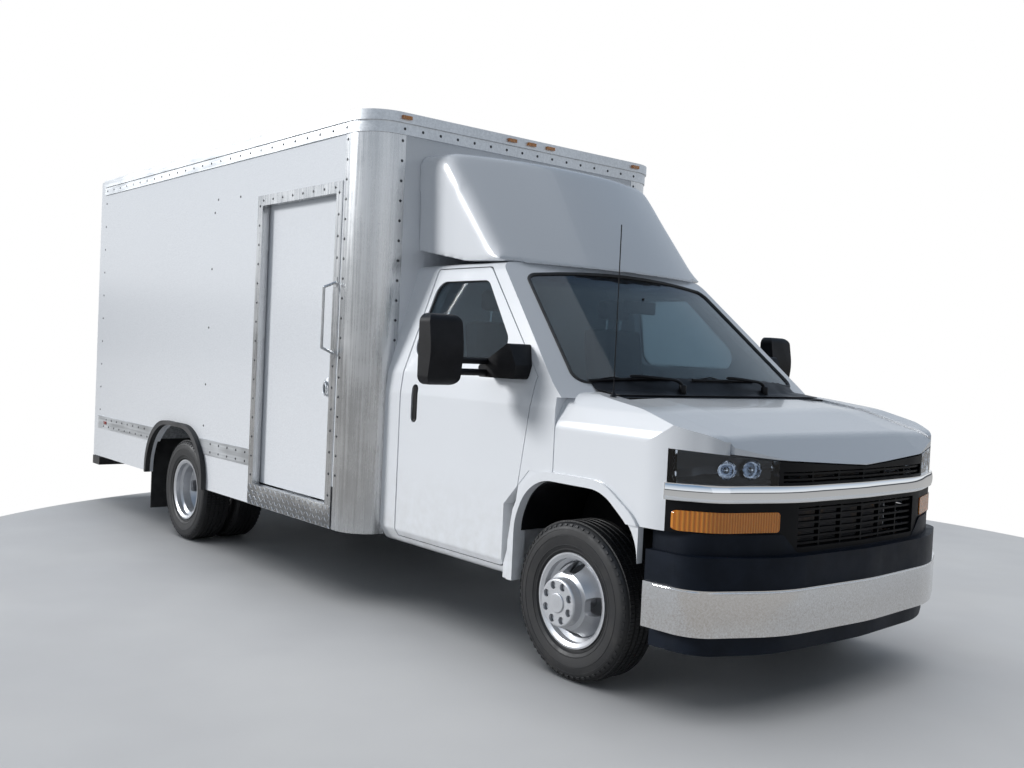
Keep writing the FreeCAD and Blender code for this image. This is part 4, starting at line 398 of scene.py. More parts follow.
def tyreRubber():
    material = newFinish("tyreRubber", (0.014, 0.014, 0.015), 0.62)
    dust = noiseAt(material, 10, 6)
    wire(material, tintBetween(material, dust, *tints["tyre"], 0.45, 0.8), "Base Color")
    wire(material, spreadTo(material, dust, 0.48, 0.72), "Roughness")
    wire(material, bumpFrom(material, noiseAt(material, 320, 4), 0.3, 0.0008), "Normal")
    return material


# the screen's black border runs at sideStart less sideTaper times the height, and between two heights
glassCare = {"screenTint": (0.20, 0.265, 0.30), "sideTint": (0.25, 0.33, 0.38),
             "shadeTint": (0.04, 0.07, 0.12), "shadeLow": 1.86, "shadeHigh": 1.93,
             "borderTint": (0.003, 0.003, 0.003), "borderLow": 1.362, "borderTop": 1.948,
             "sideStart": 1.198, "sideTaper": 0.2435}


def tintedGlass(name, tint):
    material = newFinish(name, tint, 0.03, Transmission_Weight=1.0, IOR=1.45)
    wire(material, spreadTo(material, noiseAt(material, 6, 6), 0.01, 0.06), "Roughness")
    return material


def sideGlass():
    tint = glassCare["sideTint"]
    material = tintedGlass("sideGlass", tint)
    paler = tuple(1.06 * v for v in tint)
    wire(material, tintBetween(material, noiseAt(material, 2, 3), tint, paler), "Base Color")
    return material


def screenGlass():
    material = tintedGlass("screenGlass", glassCare["screenTint"])
    x, y, z = placeParts(material)[0:3]
    band = rangeTo(material, z, glassCare["shadeLow"], glassCare["shadeHigh"])
    shaded = blendColour(material, band, glassCare["screenTint"], glassCare["shadeTint"])
    taper = mathNode(material, "MULTIPLY", z, glassCare["sideTaper"])
    halfWidth = mathNode(material, "SUBTRACT", glassCare["sideStart"], taper)
    past = mathNode(material, "GREATER_THAN", mathNode(material, "ABSOLUTE", y), halfWidth)
    low = mathNode(material, "LESS_THAN", z, glassCare["borderLow"])
    high = mathNode(material, "GREATER_THAN", z, glassCare["borderTop"])
    border = mathNode(material, "MAXIMUM", past, mathNode(material, "MAXIMUM", low, high))
    wire(material, blendColour(material, border, shaded, glassCare["borderTint"]), "Base Color")
    return material


def clearLens():
    tint = (0.42, 0.48, 0.56)
    material = newFinish("lampLens", tint, 0.04, Transmission_Weight=1.0, IOR=1.40)
    deeper = tuple(0.96 * v for v in tint)
    wire(material, tintBetween(material, noiseAt(material, 4, 3), tint, deeper), "Base Color")
    return material


def colouredLens(name, dark, light, ribs):
    material = newFinish(name, light, 0.16, Transmission_Weight=0.25, Coat_Weight=0.5, Coat_Roughness=0.03)
    wave = waveAt(material, ribs, "Y")
    wire(material, tintBetween(material, wave, dark, light, 0.1, 0.9), "Base Color")
    wire(material, bumpFrom(material, wave, 0.6, 0.002), "Normal")
    return material


def wovenCloth():
    material = newFinish("wovenCloth", (0.10, 0.10, 0.11), 0.88, Sheen_Weight=0.3)
    weave = mathNode(material, "MULTIPLY", waveAt(material, 60.0, "X"), waveAt(material, 60.0, "Z"))
    wire(material, tintBetween(material, weave, *tints["cloth"], 0.1, 0.9), "Base Color")
    wire(material, bumpFrom(material, weave, 0.25, 0.001), "Normal")
    return material


# finishes for the slots of the record, and for some single nodes and pieces
finishes = {
    "cab_paint": cabPaint(), "box_paint": boxPaint(), "galvanised": zincCoat(), "chrome": mirrorChrome(),
    "engine_metal": castMetal(), "wheel_silver": silverPaint(), "tyre": tyreRubber(),
    "seat_cloth": wovenCloth(), "window_glass": sideGlass(), "screen": screenGlass(), "lamp_lens": clearLens(),
    "amber_lens": colouredLens("amberLens", (0.72, 0.21, 0.01), (0.92, 0.34, 0.03), 26.0),
    "red_lens": colouredLens("redLens", (0.30, 0.008, 0.008), (0.55, 0.02, 0.02), 60.0),
    "aluminium": brushedMetal("postAluminium", (0.47, 0.48, 0.49), (0.62, 0.63, 0.64), (1, 1, 0.02), 0.25),
    "rail": brushedMetal("railAluminium", (0.50, 0.52, 0.54), (0.66, 0.68, 0.70), (0.02, 1, 1), 0.40),
    "lozenge": brushedMetal("brightTread", (0.80, 0.80, 0.80), (0.93, 0.93, 0.93), (1, 1, 1), 0.22),
    # the tread backing is the plate's aluminium darkened: painted shade between the raised lozenges
    "treadBackPaintedShade": brushedMetal("treadBackPaintedShade", (0.20, 0.20, 0.20), (0.30, 0.30, 0.295), (1, 1, 1), 0.42),
    # the rivets' near-black colour is painted shade, standing for the shadow around each dome
    "rivet": brushedMetal("rivetPaintedShade", (0.035, 0.036, 0.040), (0.09, 0.095, 0.10), (1, 1, 1), 0.4),
    "reflector": brushedMetal("lampReflector", (0.70, 0.74, 0.80), (0.84, 0.88, 0.92), (1, 1, 1), 0.10),
    "black_plastic": grainPlastic("blackPlastic", (0.004, 0.004, 0.005), (0.009, 0.009, 0.011),
                                  0.44, 420, 0.25, 0.2),
    "bumperPlastic": grainPlastic("bumperPlastic", (0.004, 0.007, 0.013), (0.008, 0.012, 0.021),
                                  0.46, 300, 0.35, 0.14),
    "grilleBlack": grainPlastic("grilleBlack", (0.001, 0.001, 0.0015), (0.003, 0.003, 0.004),
                                0.5, 300, 0.2, 0.16),
    "chassis_black": grainPlastic("chassisBlack", (0.012, 0.012, 0.013), (0.040, 0.038, 0.036),
                                  0.55, 90, 0.2),
    "rubber": grainPlastic("mouldedRubber", (0.018, 0.018, 0.019), (0.040, 0.040, 0.041), 0.66, 200, 0.3),
    "cabin_plastic": grainPlastic("cabinPlastic", (0.05, 0.05, 0.053), (0.085, 0.085, 0.09), 0.6, 500, 0.3),
}
nodeFinish = {"windshield": "screen", "grille": "grilleBlack", "bumper_plastic": "bumperPlastic",
              "body_rails": "rail"}
for entry in frame["record"]["subparts"]:
    part = nodes[entry["node"]]
    finish = finishes[nodeFinish.get(entry["node"], entry["material_slot"])]
    if not part.data.materials:
        part.data.materials.append(finish)
    for index in range(len(part.data.materials)):
        part.data.materials[index] = finish
print("finishes on", len(nodes), "nodes")


# road tyres with tread blocks in place of the plain solids
# ribs are pairs of places across the tyre, and the sidewall has each point's place across and radius

tyreCare = {"frontX": 2.665, "wheelbase": 4.039, "frontY": 0.874, "rearYs": (0.803, 1.065),
            "radius": 0.3716, "blockRise": 0.0072, "blockGap": 0.0012, "crownSlack": 0.002, "steps": 120,
            "ribs": ((-0.083, -0.055), (-0.045, -0.021), (-0.012, 0.012), (0.021, 0.045), (0.055, 0.083)),
            "sidewall": ((0.0832, 0.2056), (0.0855, 0.2236), (0.0935, 0.2330), (0.0990, 0.2365),
                         (0.0990, 0.2400), (0.0975, 0.2415), (0.1040, 0.2560), (0.1062, 0.2570),
                         (0.1064, 0.2600), (0.1052, 0.2612), (0.1090, 0.2840), (0.1104, 0.3000),
                         (0.1122, 0.3012), (0.1122, 0.3052), (0.1104, 0.3066), (0.1090, 0.3240),
                         (0.1078, 0.3300), (0.1094, 0.3312), (0.1078, 0.3400), (0.1045, 0.3450),
                         (0.0985, 0.3560)),
            "shoulderWidth": 0.0905, "shoulderDrop": 0.0016,
            "lugBand": (0.3455, 0.3560), "lugFrom": 0.09, "lugGap": 0.0010, "lugRise": 0.0042}


def roadTyre(name, x, y):
    radius = tyreCare["radius"]
    base = radius - tyreCare["blockRise"]
    side = [*tyreCare["sidewall"], (tyreCare["shoulderWidth"], base - tyreCare["shoulderDrop"])]
    crown = [edge for rib in reversed(tyreCare["ribs"]) for edge in (rib[1], rib[0])]
    profile = side + [(edge, base) for edge in crown] + [(-a, b) for a, b in reversed(side)]
    tyre = spunPiece(name, profile + [profile[0]], (x, y, radius), tyreCare["steps"])

    def reachOf(face):
        return math.hypot(face.center.x - x, face.center.z - radius)

    def onRib(face):
        across = face.center.y - y
        onCrown = reachOf(face) > base - tyreCare["crownSlack"]
        return onCrown and any(low < across < high for low, high in tyreCare["ribs"])

    def onShoulder(face):
        low, high = tyreCare["lugBand"]
        turn = math.degrees(math.atan2(face.center.z - radius, face.center.x - x))
        lug = math.floor(turn * tyreCare["steps"] / 360)
        return low < reachOf(face) < high and abs(face.center.y - y) > tyreCare["lugFrom"] and lug % 2 == 0

    pickFaces(tyre, onRib)
    bpy.ops.mesh.inset(thickness=tyreCare["blockGap"], depth=tyreCare["blockRise"], use_individual=True)
    pickFaces(tyre, onShoulder)
    bpy.ops.mesh.inset(thickness=tyreCare["lugGap"], depth=tyreCare["lugRise"], use_individual=True)
    deselectAll()
    return tyre


for sideName, sign in sides:
    front = roadTyre("roadTyreFront_" + sideName, tyreCare["frontX"], sign * tyreCare["frontY"])
    settle(front, "tyre", "wheel_front_" + sideName, 40)
    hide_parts("tyre_front_" + sideName)
    rearX = tyreCare["frontX"] - tyreCare["wheelbase"]
    twins = [roadTyre("rearPart", rearX, sign * y) for y in tyreCare["rearYs"]]
    pair = joined(twins, "roadTyresRear_" + sideName)
    settle(pair, "tyre", "wheel_rear_" + sideName, 40)
    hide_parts("tyres_rear_" + sideName)
print("tyres ready")


# rivets along the body's aluminium: a row has its place, with None where it runs, its start, stop and pitch,
# and where it faces

rivetCare = {
    "radius": 0.0088, "height": 0.0040, "sunk": 0.0004,
    "bothSides": (((1.078, 0.958, None), (0.745, 2.70, 0.118), (1, 0, 0)),  # front posts
                  ((0.850, 1.183, None), (0.745, 2.70, 0.118), (0, 1, 0)),
                  ((None, 1.189, 2.768), (-3.24, 0.84, 0.155), (0, 1, 0)),  # top rails
                  ((None, 1.185, 0.700), (-3.16, -2.12, 0.13), (0, 1, 0)),  # rear ends of the lower rails
                  ((None, 1.185, 0.760), (-3.095, -2.185, 0.13), (0, 1, 0)),
                  ((-3.413, 1.135, None), (0.50, 2.75, 0.15), (-1, 0, 0)),  # rear frame and rear posts
                  ((-3.275, 1.180, None), (0.84, 2.66, 0.20), (0, 1, 0))),
    "singles": (((1.084, None, 2.768), (-0.95, 0.95, 0.127), (1, 0, 0)),  # front top rail
                ((None, 1.185, 0.700), (-0.90, 0.78, 0.14), (0, 1, 0)),  # lower rails ahead of the rear wheels
                ((None, 1.185, 0.760), (-0.90, 0.78, 0.14), (0, 1, 0)),
                ((None, -1.185, 0.700), (-0.90, -0.34, 0.14), (0, -1, 0)),
                ((None, -1.185, 0.760), (-0.90, -0.34, 0.14), (0, -1, 0)),
                ((-0.247, -1.185, None), (0.62, 2.40, 0.127), (0, -1, 0)),  # side door frame
                ((0.777, -1.185, None), (0.62, 2.40, 0.127), (0, -1, 0)),
                ((None, -1.185, 2.434), (-0.20, 0.73, 0.133), (0, -1, 0))),
    "grabBarX": 0.777, "grabBarZ": (1.40, 1.93),  # the grab bar stands here, without rivets
    "wallFace": -1.180,
    "wallSpots": ((-0.92, 2.50), (-0.56, 2.49), (-0.97, 2.41), (-0.99, 2.01), (-1.01, 1.59), (-1.03, 1.18),
                  (-1.04, 0.88)),
}


def rivetModel():
    deselectAll()
    bpy.ops.mesh.primitive_uv_sphere_add(segments=10, ring_count=6, radius=rivetCare["radius"])
    rivet = bpy.context.object
    rivet.scale = (1, 1, rivetCare["height"] / rivetCare["radius"])
    bpy.ops.object.transform_apply(location=False, rotation=False, scale=True)
    editAll(rivet)
    bpy.ops.mesh.bisect(plane_co=(0, 0, -rivetCare["sunk"]), plane_no=(0, 0, 1), use_fill=True,
                        clear_inner=True)
    bpy.ops.object.mode_set(mode="OBJECT")
    return rivet


def rivetRow(place, run, direction, sign=1):
    start, stop, pitch = run
    count = max(1, round((stop - start) / pitch))
    spots = []
    for i in range(count + 1):
        x, y, z = [start + (stop - start) * i / count if value is None else value for value in place]
        if x == rivetCare["grabBarX"] and rivetCare["grabBarZ"][0] < z < rivetCare["grabBarZ"][1]:
            continue
        spots.append(facing((x, sign * y, z), (direction[0], sign * direction[1], 0)))
    return spots


rivetSpots = []
for sign in (-1, 1):
    for place, run, direction in rivetCare["bothSides"]:
        rivetSpots += rivetRow(place, run, direction, sign)
for place, run, direction in rivetCare["singles"]:
    rivetSpots += rivetRow(place, run, direction)
rivetSpots += [facing((x, rivetCare["wallFace"], z), (0, -1, 0)) for x, z in rivetCare["wallSpots"]]
rivets = copiesAt(rivetModel(), "bodyRivets", rivetSpots)
# the rivets take the near-black finish, which is painted shade
settle(rivets, "galvanised", "chassis", 50, "rivet")
print("rivets ready:", len(rivetSpots))


# raised lozenges and their backing on the tread plate under the side door; the backing's dark colour is
# painted shade between the lozenges

treadCare = {"lozenge": (0.034, 0.0135, 0.0050), "topTaper": (0.72, 0.35, 1), "endTaper": (1, 0.3, 1),
             "lean": 45, "pitch": 0.0355,
             "xRange": (-0.268, 0.798), "zRange": (0.438, 0.548), "faceY": -1.1866,
             "backLow": (-0.278, -1.1858, 0.427), "backHigh": (0.806, -1.1846, 0.559), "backBevel": 0.0004}


def lozengeModel():
    deselectAll()
    bpy.ops.mesh.primitive_cube_add(size=1, scale=treadCare["lozenge"])
    bar = bpy.context.object
    bpy.ops.object.transform_apply(location=False, rotation=False, scale=True)
    pickFaces(bar, lambda face: face.normal.z > 0.9)
    bpy.ops.transform.resize(value=treadCare["topTaper"])
    pickFaces(bar, lambda face: abs(face.normal.x) > 0.5)
    bpy.ops.transform.resize(value=treadCare["endTaper"])
    bpy.ops.object.mode_set(mode="OBJECT")
    return bar


def lozengeLean(i, k):
    lean = treadCare["lean"] if (i + k) % 2 else -treadCare["lean"]
    return Matrix.Rotation(math.radians(lean), 4, "Z")


treadSpots = []
xLow, xHigh = treadCare["xRange"]
zLow, zHigh = treadCare["zRange"]
for i in range(int((xHigh - xLow) / treadCare["pitch"]) + 1):
    for k in range(int((zHigh - zLow) / treadCare["pitch"]) + 1):
        spot = (xLow + i * treadCare["pitch"], treadCare["faceY"], zLow + k * treadCare["pitch"])
        treadSpots.append(facing(spot, (0, -1, 0)) @ lozengeLean(i, k))
tread = copiesAt(lozengeModel(), "stepTreadPlate", treadSpots)
settle(tread, "aluminium", "chassis", 30, "lozenge")
# a thin dark sheet behind the lozenges, whose colour is painted shade standing for the shadow between them
shadedPlateBack = blockPiece("stepPlateBackPaintedShade", treadCare["backLow"], treadCare["backHigh"], treadCare["backBevel"])
settle(shadedPlateBack, "aluminium", "chassis", 30, "treadBackPaintedShade")
print("tread plate ready:", len(treadSpots))


# black seals hugging the glass, from the edge of each pane's outer face

sealCare = {"screenRadius": 0.011, "doorRadius": 0.008, "screenFacing": (0.65, 0, 0.75)}


def glassSeal(node, name, outward, radius, body):
    pane = looseCopy(node)
    direction = Vector(outward)
    editAll(pane)
    bpy.ops.mesh.remove_doubles(threshold=mergeWithin)
    bpy.ops.object.mode_set(mode="OBJECT")
    pickFaces(pane, lambda face: face.normal.dot(direction) > 0.6)
    bpy.ops.mesh.region_to_loop()
    bpy.ops.mesh.separate(type="SELECTED")
    bpy.ops.object.mode_set(mode="OBJECT")
    edge = [o for o in bpy.context.selected_objects if o != pane][0]
    bpy.data.objects.remove(pane)
    editAll(edge)
    bpy.ops.mesh.dissolve_limited(angle_limit=math.radians(2))
    bpy.ops.mesh.delete(type="ONLY_FACE")
    bpy.ops.object.mode_set(mode="OBJECT")
    bpy.ops.object.convert(target="CURVE")
    edge.data.bevel_depth, edge.data.bevel_resolution = radius, 2
    bpy.ops.object.convert(target="MESH")
    seal = bpy.context.object
    seal.name = name
    settle(seal, "rubber", body, 50)


glassSeal("windshield", "screenSeal", sealCare["screenFacing"], sealCare["screenRadius"], "chassis")
for sideName, sign in sides:
    glassSeal("door_glass_" + sideName, "doorGlassSeal_" + sideName, (0, sign, 0), sealCare["doorRadius"],
              "cab_door_" + sideName)
print("seals ready")


# wipers parked low on the screen

wiperCare = {"pivots": (("wiperRight", -0.30, 1.352), ("wiperLeft", 0.42, 1.352)), "reach": 0.56,
             "bladeZ": 1.418, "bladeFall": 0.018, "bladeShift": 0.02, "bladeRadius": 0.0075,
             "screenX": 2.75, "outward": (0.65, 0, 0.76), "lift": 0.015,
             "yokes": ((0.06, 0.44), (0.56, 0.94)), "yokeRise": (0.014, 0, 0.016), "yokeRadius": 0.0038,
             "armStart": (0.075, 0, -0.028), "armUp": (-0.01, 0, 0.035), "armBow": (0.01, 0, 0.02),
             "armTip": (0.004, 0, 0.006), "armEnd": (0.012, 0, 0.012), "armRadius": 0.0085,
             "capRadius": 0.019, "capDepth": 0.05, "capDrop": (0, 0, 0.012), "capBevel": 0.004}


def onScreen(y, z, lift):
    near = Vector((wiperCare["screenX"], y, z))
    spot = nodes["windshield"].closest_point_on_mesh(near)[1]
    return spot + Vector(wiperCare["outward"]) * lift


def wiperYoke(start, stop):
    rise = (start + stop) / 2 + Vector(wiperCare["yokeRise"])
    points = [start, start.lerp(rise, 0.6), rise, stop.lerp(rise, 0.6), stop]
    return tubePiece("wiperYoke", points, wiperCare["yokeRadius"])


def wiper(name, pivotY, pivotZ):
    startY, reach, fall = pivotY - wiperCare["bladeShift"], wiperCare["reach"], wiperCare["bladeFall"]
    blade = [onScreen(startY - reach * share, wiperCare["bladeZ"] - fall * share, wiperCare["lift"])
             for share in (0, 0.33, 0.66, 1)]
    rubber = tubePiece(name + "Blade", blade, wiperCare["bladeRadius"])
    middle = (blade[1] + blade[2]) / 2 + Vector(wiperCare["armEnd"])
    pivot = onScreen(pivotY, pivotZ, 0.0) + Vector(wiperCare["armStart"])
    bow = (pivot + middle) / 2 + Vector(wiperCare["armBow"])
    points = [pivot, pivot + Vector(wiperCare["armUp"]), bow, middle + Vector(wiperCare["armTip"]), middle]
    arm = tubePiece(name + "Arm", points, wiperCare["armRadius"])
    yokes = [wiperYoke(blade[0].lerp(blade[3], a), blade[0].lerp(blade[3], b)) for a, b in wiperCare["yokes"]]
    deselectAll()
    bpy.ops.mesh.primitive_cylinder_add(vertices=24, radius=wiperCare["capRadius"],
                                        depth=wiperCare["capDepth"],
                                        location=pivot - Vector(wiperCare["capDrop"]))
    cap = bpy.context.object
    edge = cap.modifiers.new("softEdge", "BEVEL")
    edge.width, edge.segments = wiperCare["capBevel"], 2
    applyAll(cap)
    whole = joined([rubber, arm, cap] + yokes, name)
    settle(whole, "black_plastic", "chassis", 50)


for name, pivotY, pivotZ in wiperCare["pivots"]:
    wiper(name, pivotY, pivotZ)
print("wipers ready")


# headlamp reflectors with their bulbs inside the clear lamp solids

lampCare = {"cells": ((3.442, 0.700, 1.062, 0.043), (3.402, 0.812, 1.060, 0.040)),
            "facing": (0.946, 0.325, 0), "rimHeight": 0.004, "stretch": (1.12, 0.86, 0.72), "wall": 0.0022,
            "bulb": 0.38, "bulbDepth": 0.25, "bulbStretch": 1.3}


def lampCell(spot, radius, direction):
    deselectAll()
    bpy.ops.mesh.primitive_uv_sphere_add(segments=28, ring_count=14, radius=radius)
    bowl = bpy.context.object
    editAll(bowl)
    bpy.ops.mesh.bisect(plane_co=(0, 0, lampCare["rimHeight"]), plane_no=(0, 0, 1), clear_outer=True)
    bpy.ops.transform.resize(value=lampCare["stretch"])
    bpy.ops.object.mode_set(mode="OBJECT")
    wall = bowl.modifiers.new("wall", "SOLIDIFY")
    wall.thickness, wall.offset = lampCare["wall"], 0
    applyAll(bowl)
    bpy.ops.mesh.primitive_uv_sphere_add(segments=20, ring_count=10, radius=radius * lampCare["bulb"],
                                         location=(0, 0, -radius * lampCare["bulbDepth"]))
    bulb = bpy.context.object
    bulb.scale = (1, 1, lampCare["bulbStretch"])
    whole = joined([bowl, bulb], "cell")
    activate(whole)
    bpy.ops.object.transform_apply(location=True, rotation=True, scale=True)
    whole.matrix_world = facing(spot, direction)
    return whole


for sideName, sign in sides:
    aim = onSide(lampCare["facing"], sign)
    cells = [lampCell((x, sign * y, z), radius, aim) for x, y, z, radius in lampCare["cells"]]
    lamp = joined(cells, "lampReflectors_" + sideName)
    settle(lamp, "chrome", "chassis", 40, "reflector")
print("lamps ready")


# door handles in their pockets, mirror glass, side door latch

handleCare = {"low": (1.349, 0.986, 1.104), "high": (1.391, 1.0025, 1.304), "bevel": 0.0075,
              "rim": 0.006, "dish": -0.004}
for sideName, sign in sides:
    low, high = onSide(handleCare["low"], sign), onSide(handleCare["high"], sign)
    grip = blockPiece("doorHandle_" + sideName, low, high, handleCare["bevel"], 3)
    pickFaces(grip, lambda face: face.normal.y * sign > 0.9)
    bpy.ops.mesh.inset(thickness=handleCare["rim"], depth=handleCare["dish"])
    deselectAll()
    settle(grip, "black_plastic", "cab_door_" + sideName, 40)

mirrorCare = {"edges": (1.251, 1.419), "heights": ((1.470, 1.660), (1.360, 1.458)), "proud": 0.0020,
              "depth": 0.004, "bevel": 0.002}
for sideName, sign in sides:
    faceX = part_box("mirror_" + sideName)[0].x
    inner, outer = (sign * edge for edge in mirrorCare["edges"])
    panes = [blockPiece("mirrorPane", (faceX - mirrorCare["proud"], inner, low),
                        (faceX + mirrorCare["depth"], outer, high), mirrorCare["bevel"], 3)
             for low, high in mirrorCare["heights"]]
    whole = joined(panes, "mirrorGlass_" + sideName)
    settle(whole, "chrome", "cab_door_" + sideName, 30)

latchCare = {"x": 0.632, "z": 1.254, "faceY": -1.137,
             "plateHalf": (0.024, 0.055), "plateProud": 0.003, "plateBevel": 0.002,
             "ringHalf": (0.026, 0.036), "ringDrop": 0.014, "ringOut": 0.012, "ringTilt": 0.004,
             "ringRadius": 0.0052, "ringPoints": 10,
             "lugHalf": 0.010, "lugOut": 0.020, "lugZ": (0.014, 0.034), "lugBevel": 0.004}
x, y, z = latchCare["x"], latchCare["faceY"], latchCare["z"]
halfWidth, halfHeight = latchCare["plateHalf"]
plate = blockPiece("latchPlate", (x - halfWidth, y - latchCare["plateProud"], z - halfHeight),
                   (x + halfWidth, y, z + halfHeight), latchCare["plateBevel"], 3)
ringPoints = []
for i in range(latchCare["ringPoints"]):
    turn = 2 * math.pi * i / latchCare["ringPoints"]
    ringPoints.append((x + latchCare["ringHalf"][0] * math.cos(turn),
                       y - latchCare["ringOut"] - latchCare["ringTilt"] * math.cos(turn),
                       z - latchCare["ringDrop"] + latchCare["ringHalf"][1] * math.sin(turn)))
ring = tubePiece("latchRing", ringPoints, latchCare["ringRadius"], cyclic=True)
lug = blockPiece("latchLug", (x - latchCare["lugHalf"], y - latchCare["lugOut"], z + latchCare["lugZ"][0]),
                 (x + latchCare["lugHalf"], y, z + latchCare["lugZ"][1]), latchCare["lugBevel"], 3)
latch = joined([plate, ring, lug], "sideDoorLatch")
settle(latch, "galvanised", "cargo_door", 40)
print("handles, mirrors and latch ready")


# black cowl cover below the screen, wrapped onto the cab and vent panel

cowlCare = {"half": 0.795, "front": 2.748, "overGlass": 0.016, "lift": 0.0045, "thickness": 0.003,
            "columns": 10, "rows": 48, "above": 2.4, "glassSpan": 0.09,
            "onto": ("cab_shell", "cowl_panel", "windshield")}


def glassEdge(y):
    return max(v.co.x for v in nodes["windshield"].data.vertices if abs(v.co.y - y) < cowlCare["glassSpan"])


deselectAll()
bpy.ops.mesh.primitive_grid_add(x_subdivisions=cowlCare["columns"], y_subdivisions=cowlCare["rows"],
                                size=1, location=(0.5, 0, cowlCare["above"]))
cowl = bpy.context.object
cowl.name = "cowlCover"
bpy.ops.object.transform_apply(location=True, rotation=True, scale=True)
for vertex in cowl.data.vertices:
    y = vertex.co.y * 2 * cowlCare["half"]
    rear = glassEdge(y) - cowlCare["overGlass"]
    vertex.co = (rear + (cowlCare["front"] - rear) * vertex.co.x, y, cowlCare["above"])
wrapTarget = joined([looseCopy(nodeName) for nodeName in cowlCare["onto"]], "wrapTarget")
wrap = cowl.modifiers.new("wrap", "SHRINKWRAP")
wrap.target, wrap.wrap_method, wrap.offset = wrapTarget, "PROJECT", cowlCare["lift"]
wrap.use_project_z, wrap.use_negative_direction = True, True
wall = cowl.modifiers.new("wall", "SOLIDIFY")
wall.thickness, wall.offset = cowlCare["thickness"], 1
applyAll(cowl)
bpy.data.objects.remove(wrapTarget)
settle(cowl, "black_plastic", "chassis", 40)
print("cowl cover ready")


# wind fairing over the cab, moulded with broad soft corners and pinned at its back and underside

fairingCare = {"voxel": 0.015, "passes": 90, "back": 1.075, "pinned": 0.02, "fade": 0.06,
               "underside": ((1.075, 2.084), (1.515, 2.008), (2.015, 1.990))}


def undersideAt(x):
    for (x0, z0), (x1, z1) in zip(fairingCare["underside"], fairingCare["underside"][1:]):
        if x <= x1:
            return z0 + (z1 - z0) * (x - x0) / (x1 - x0)
    return fairingCare["underside"][-1][1]


moulding = joined([looseCopy("cab_fairing")], "smoothFairing")
editAll(moulding)
bpy.ops.mesh.select_mode(type="VERT")
bpy.ops.mesh.select_all(action="SELECT")
bpy.ops.mesh.remove_doubles(threshold=mergeWithin)
bpy.ops.mesh.convex_hull()
bpy.ops.mesh.select_all(action="SELECT")
bpy.ops.mesh.normals_make_consistent(inside=False)
bpy.ops.object.mode_set(mode="OBJECT")
grid = moulding.modifiers.new("grid", "REMESH")
grid.mode, grid.voxel_size = "VOXEL", fairingCare["voxel"]
applyAll(moulding)
free = moulding.vertex_groups.new(name="free")
for vertex in moulding.data.vertices:
    x, y, z = vertex.co
    clear = min(x - fairingCare["back"], z - undersideAt(x)) - fairingCare["pinned"]
    free.add([vertex.index], max(0.0, min(1.0, clear / fairingCare["fade"])), "REPLACE")
soften = moulding.modifiers.new("soften", "SMOOTH")
soften.factor, soften.iterations, soften.vertex_group = 0.5, fairingCare["passes"], "free"
applyAll(moulding)
settle(moulding, "cab_paint", "chassis", 50)
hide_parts("cab_fairing")
print("fairing ready")


# chrome lip along the top of the bumper and the convex face of the grille bar, both laid on the chrome trim

lipCare = {"height": 0.5555, "half": 0.955, "sink": 0.0040, "radius": 0.0062,
           "sideXs": (3.370, 3.325, 3.280, 3.235, 3.190)}
barCare = {"height": 0.960, "half": 0.965, "sink": 0.0045, "halfHeight": 0.0365, "halfDepth": 0.011,
           "sideXs": (3.262, 3.245, 3.229)}
probeCare = {"ahead": 4.0, "aside": 1.6, "spans": 40}  # rays start clear of the nose


def trimSurface(start, direction):
    hit, spot = nodes["chrome_trim"].ray_cast(Vector(start), Vector(direction))[:2]
    return spot if hit else None


def roundTheNose(care):
    height, spans = care["height"], probeCare["spans"]
    across = [care["half"] * (2 * i / spans - 1) for i in range(spans + 1)]
    run = [trimSurface((probeCare["ahead"], y, height), (-1, 0, 0)) for y in across]
    run = [point - Vector((care["sink"], 0, 0)) for point in run if point]
    for sign in (-1, 1):
        side = [trimSurface((x, sign * probeCare["aside"], height), (0, -sign, 0)) for x in care["sideXs"]]
        side = [point - Vector((0, sign * care["sink"], 0)) for point in side if point]
        run = list(reversed(side)) + run if sign < 0 else run + side
    return run


def ovalSection(halfDepth, halfHeight, count=16):
    curve = bpy.data.curves.new("barSection", "CURVE")
    curve.dimensions = "2D"
    rim = curve.splines.new("NURBS")
    rim.points.add(count - 1)
    for index, point in enumerate(rim.points):
        turn = 2 * math.pi * index / count
        point.co = (halfDepth * math.cos(turn), halfHeight * math.sin(turn), 0, 1)
    rim.use_cyclic_u, rim.order_u = True, 3
    return bpy.data.objects.new("barSection", curve)


lip = tubePiece("bumperLip", roundTheNose(lipCare), lipCare["radius"])
settle(lip, "chrome", "chassis", 50)
section = ovalSection(barCare["halfDepth"], barCare["halfHeight"])
bar = tubePiece("grilleBar", roundTheNose(barCare), 0.0, section=section)
bpy.data.objects.remove(section)
settle(bar, "chrome", "chassis", 50)
print("lip and grille bar ready")


# mirror inside the screen and liners of the handle pockets

cabMirrorCare = {"low": (2.085, -0.125, 1.755), "high": (2.106, 0.125, 1.828), "bevel": 0.009,
                 "stem": ((2.10, 0, 1.80), (2.115, 0, 1.825), (2.125, 0, 1.846)), "stemRadius": 0.007}
linerCare = {"low": (1.3412, 0.9868, 1.0992), "high": (1.3988, 0.9886, 1.3088)}
glassMirror = blockPiece("cabMirror", cabMirrorCare["low"], cabMirrorCare["high"], cabMirrorCare["bevel"], 3)
stem = tubePiece("cabMirrorStem", cabMirrorCare["stem"], cabMirrorCare["stemRadius"])
cabMirror = joined([glassMirror, stem], "cabMirror")
settle(cabMirror, "black_plastic", "chassis", 40)
for sideName, sign in sides:
    low, high = onSide(linerCare["low"], sign), onSide(linerCare["high"], sign)
    liner = blockPiece("pocketLiner_" + sideName, low, high)
    settle(liner, "black_plastic", "cab_door_" + sideName, 30)
print("cab mirror and liners ready")


# rear: latch and pulls of the roll-up door, blank plate, tread on the step, side markers

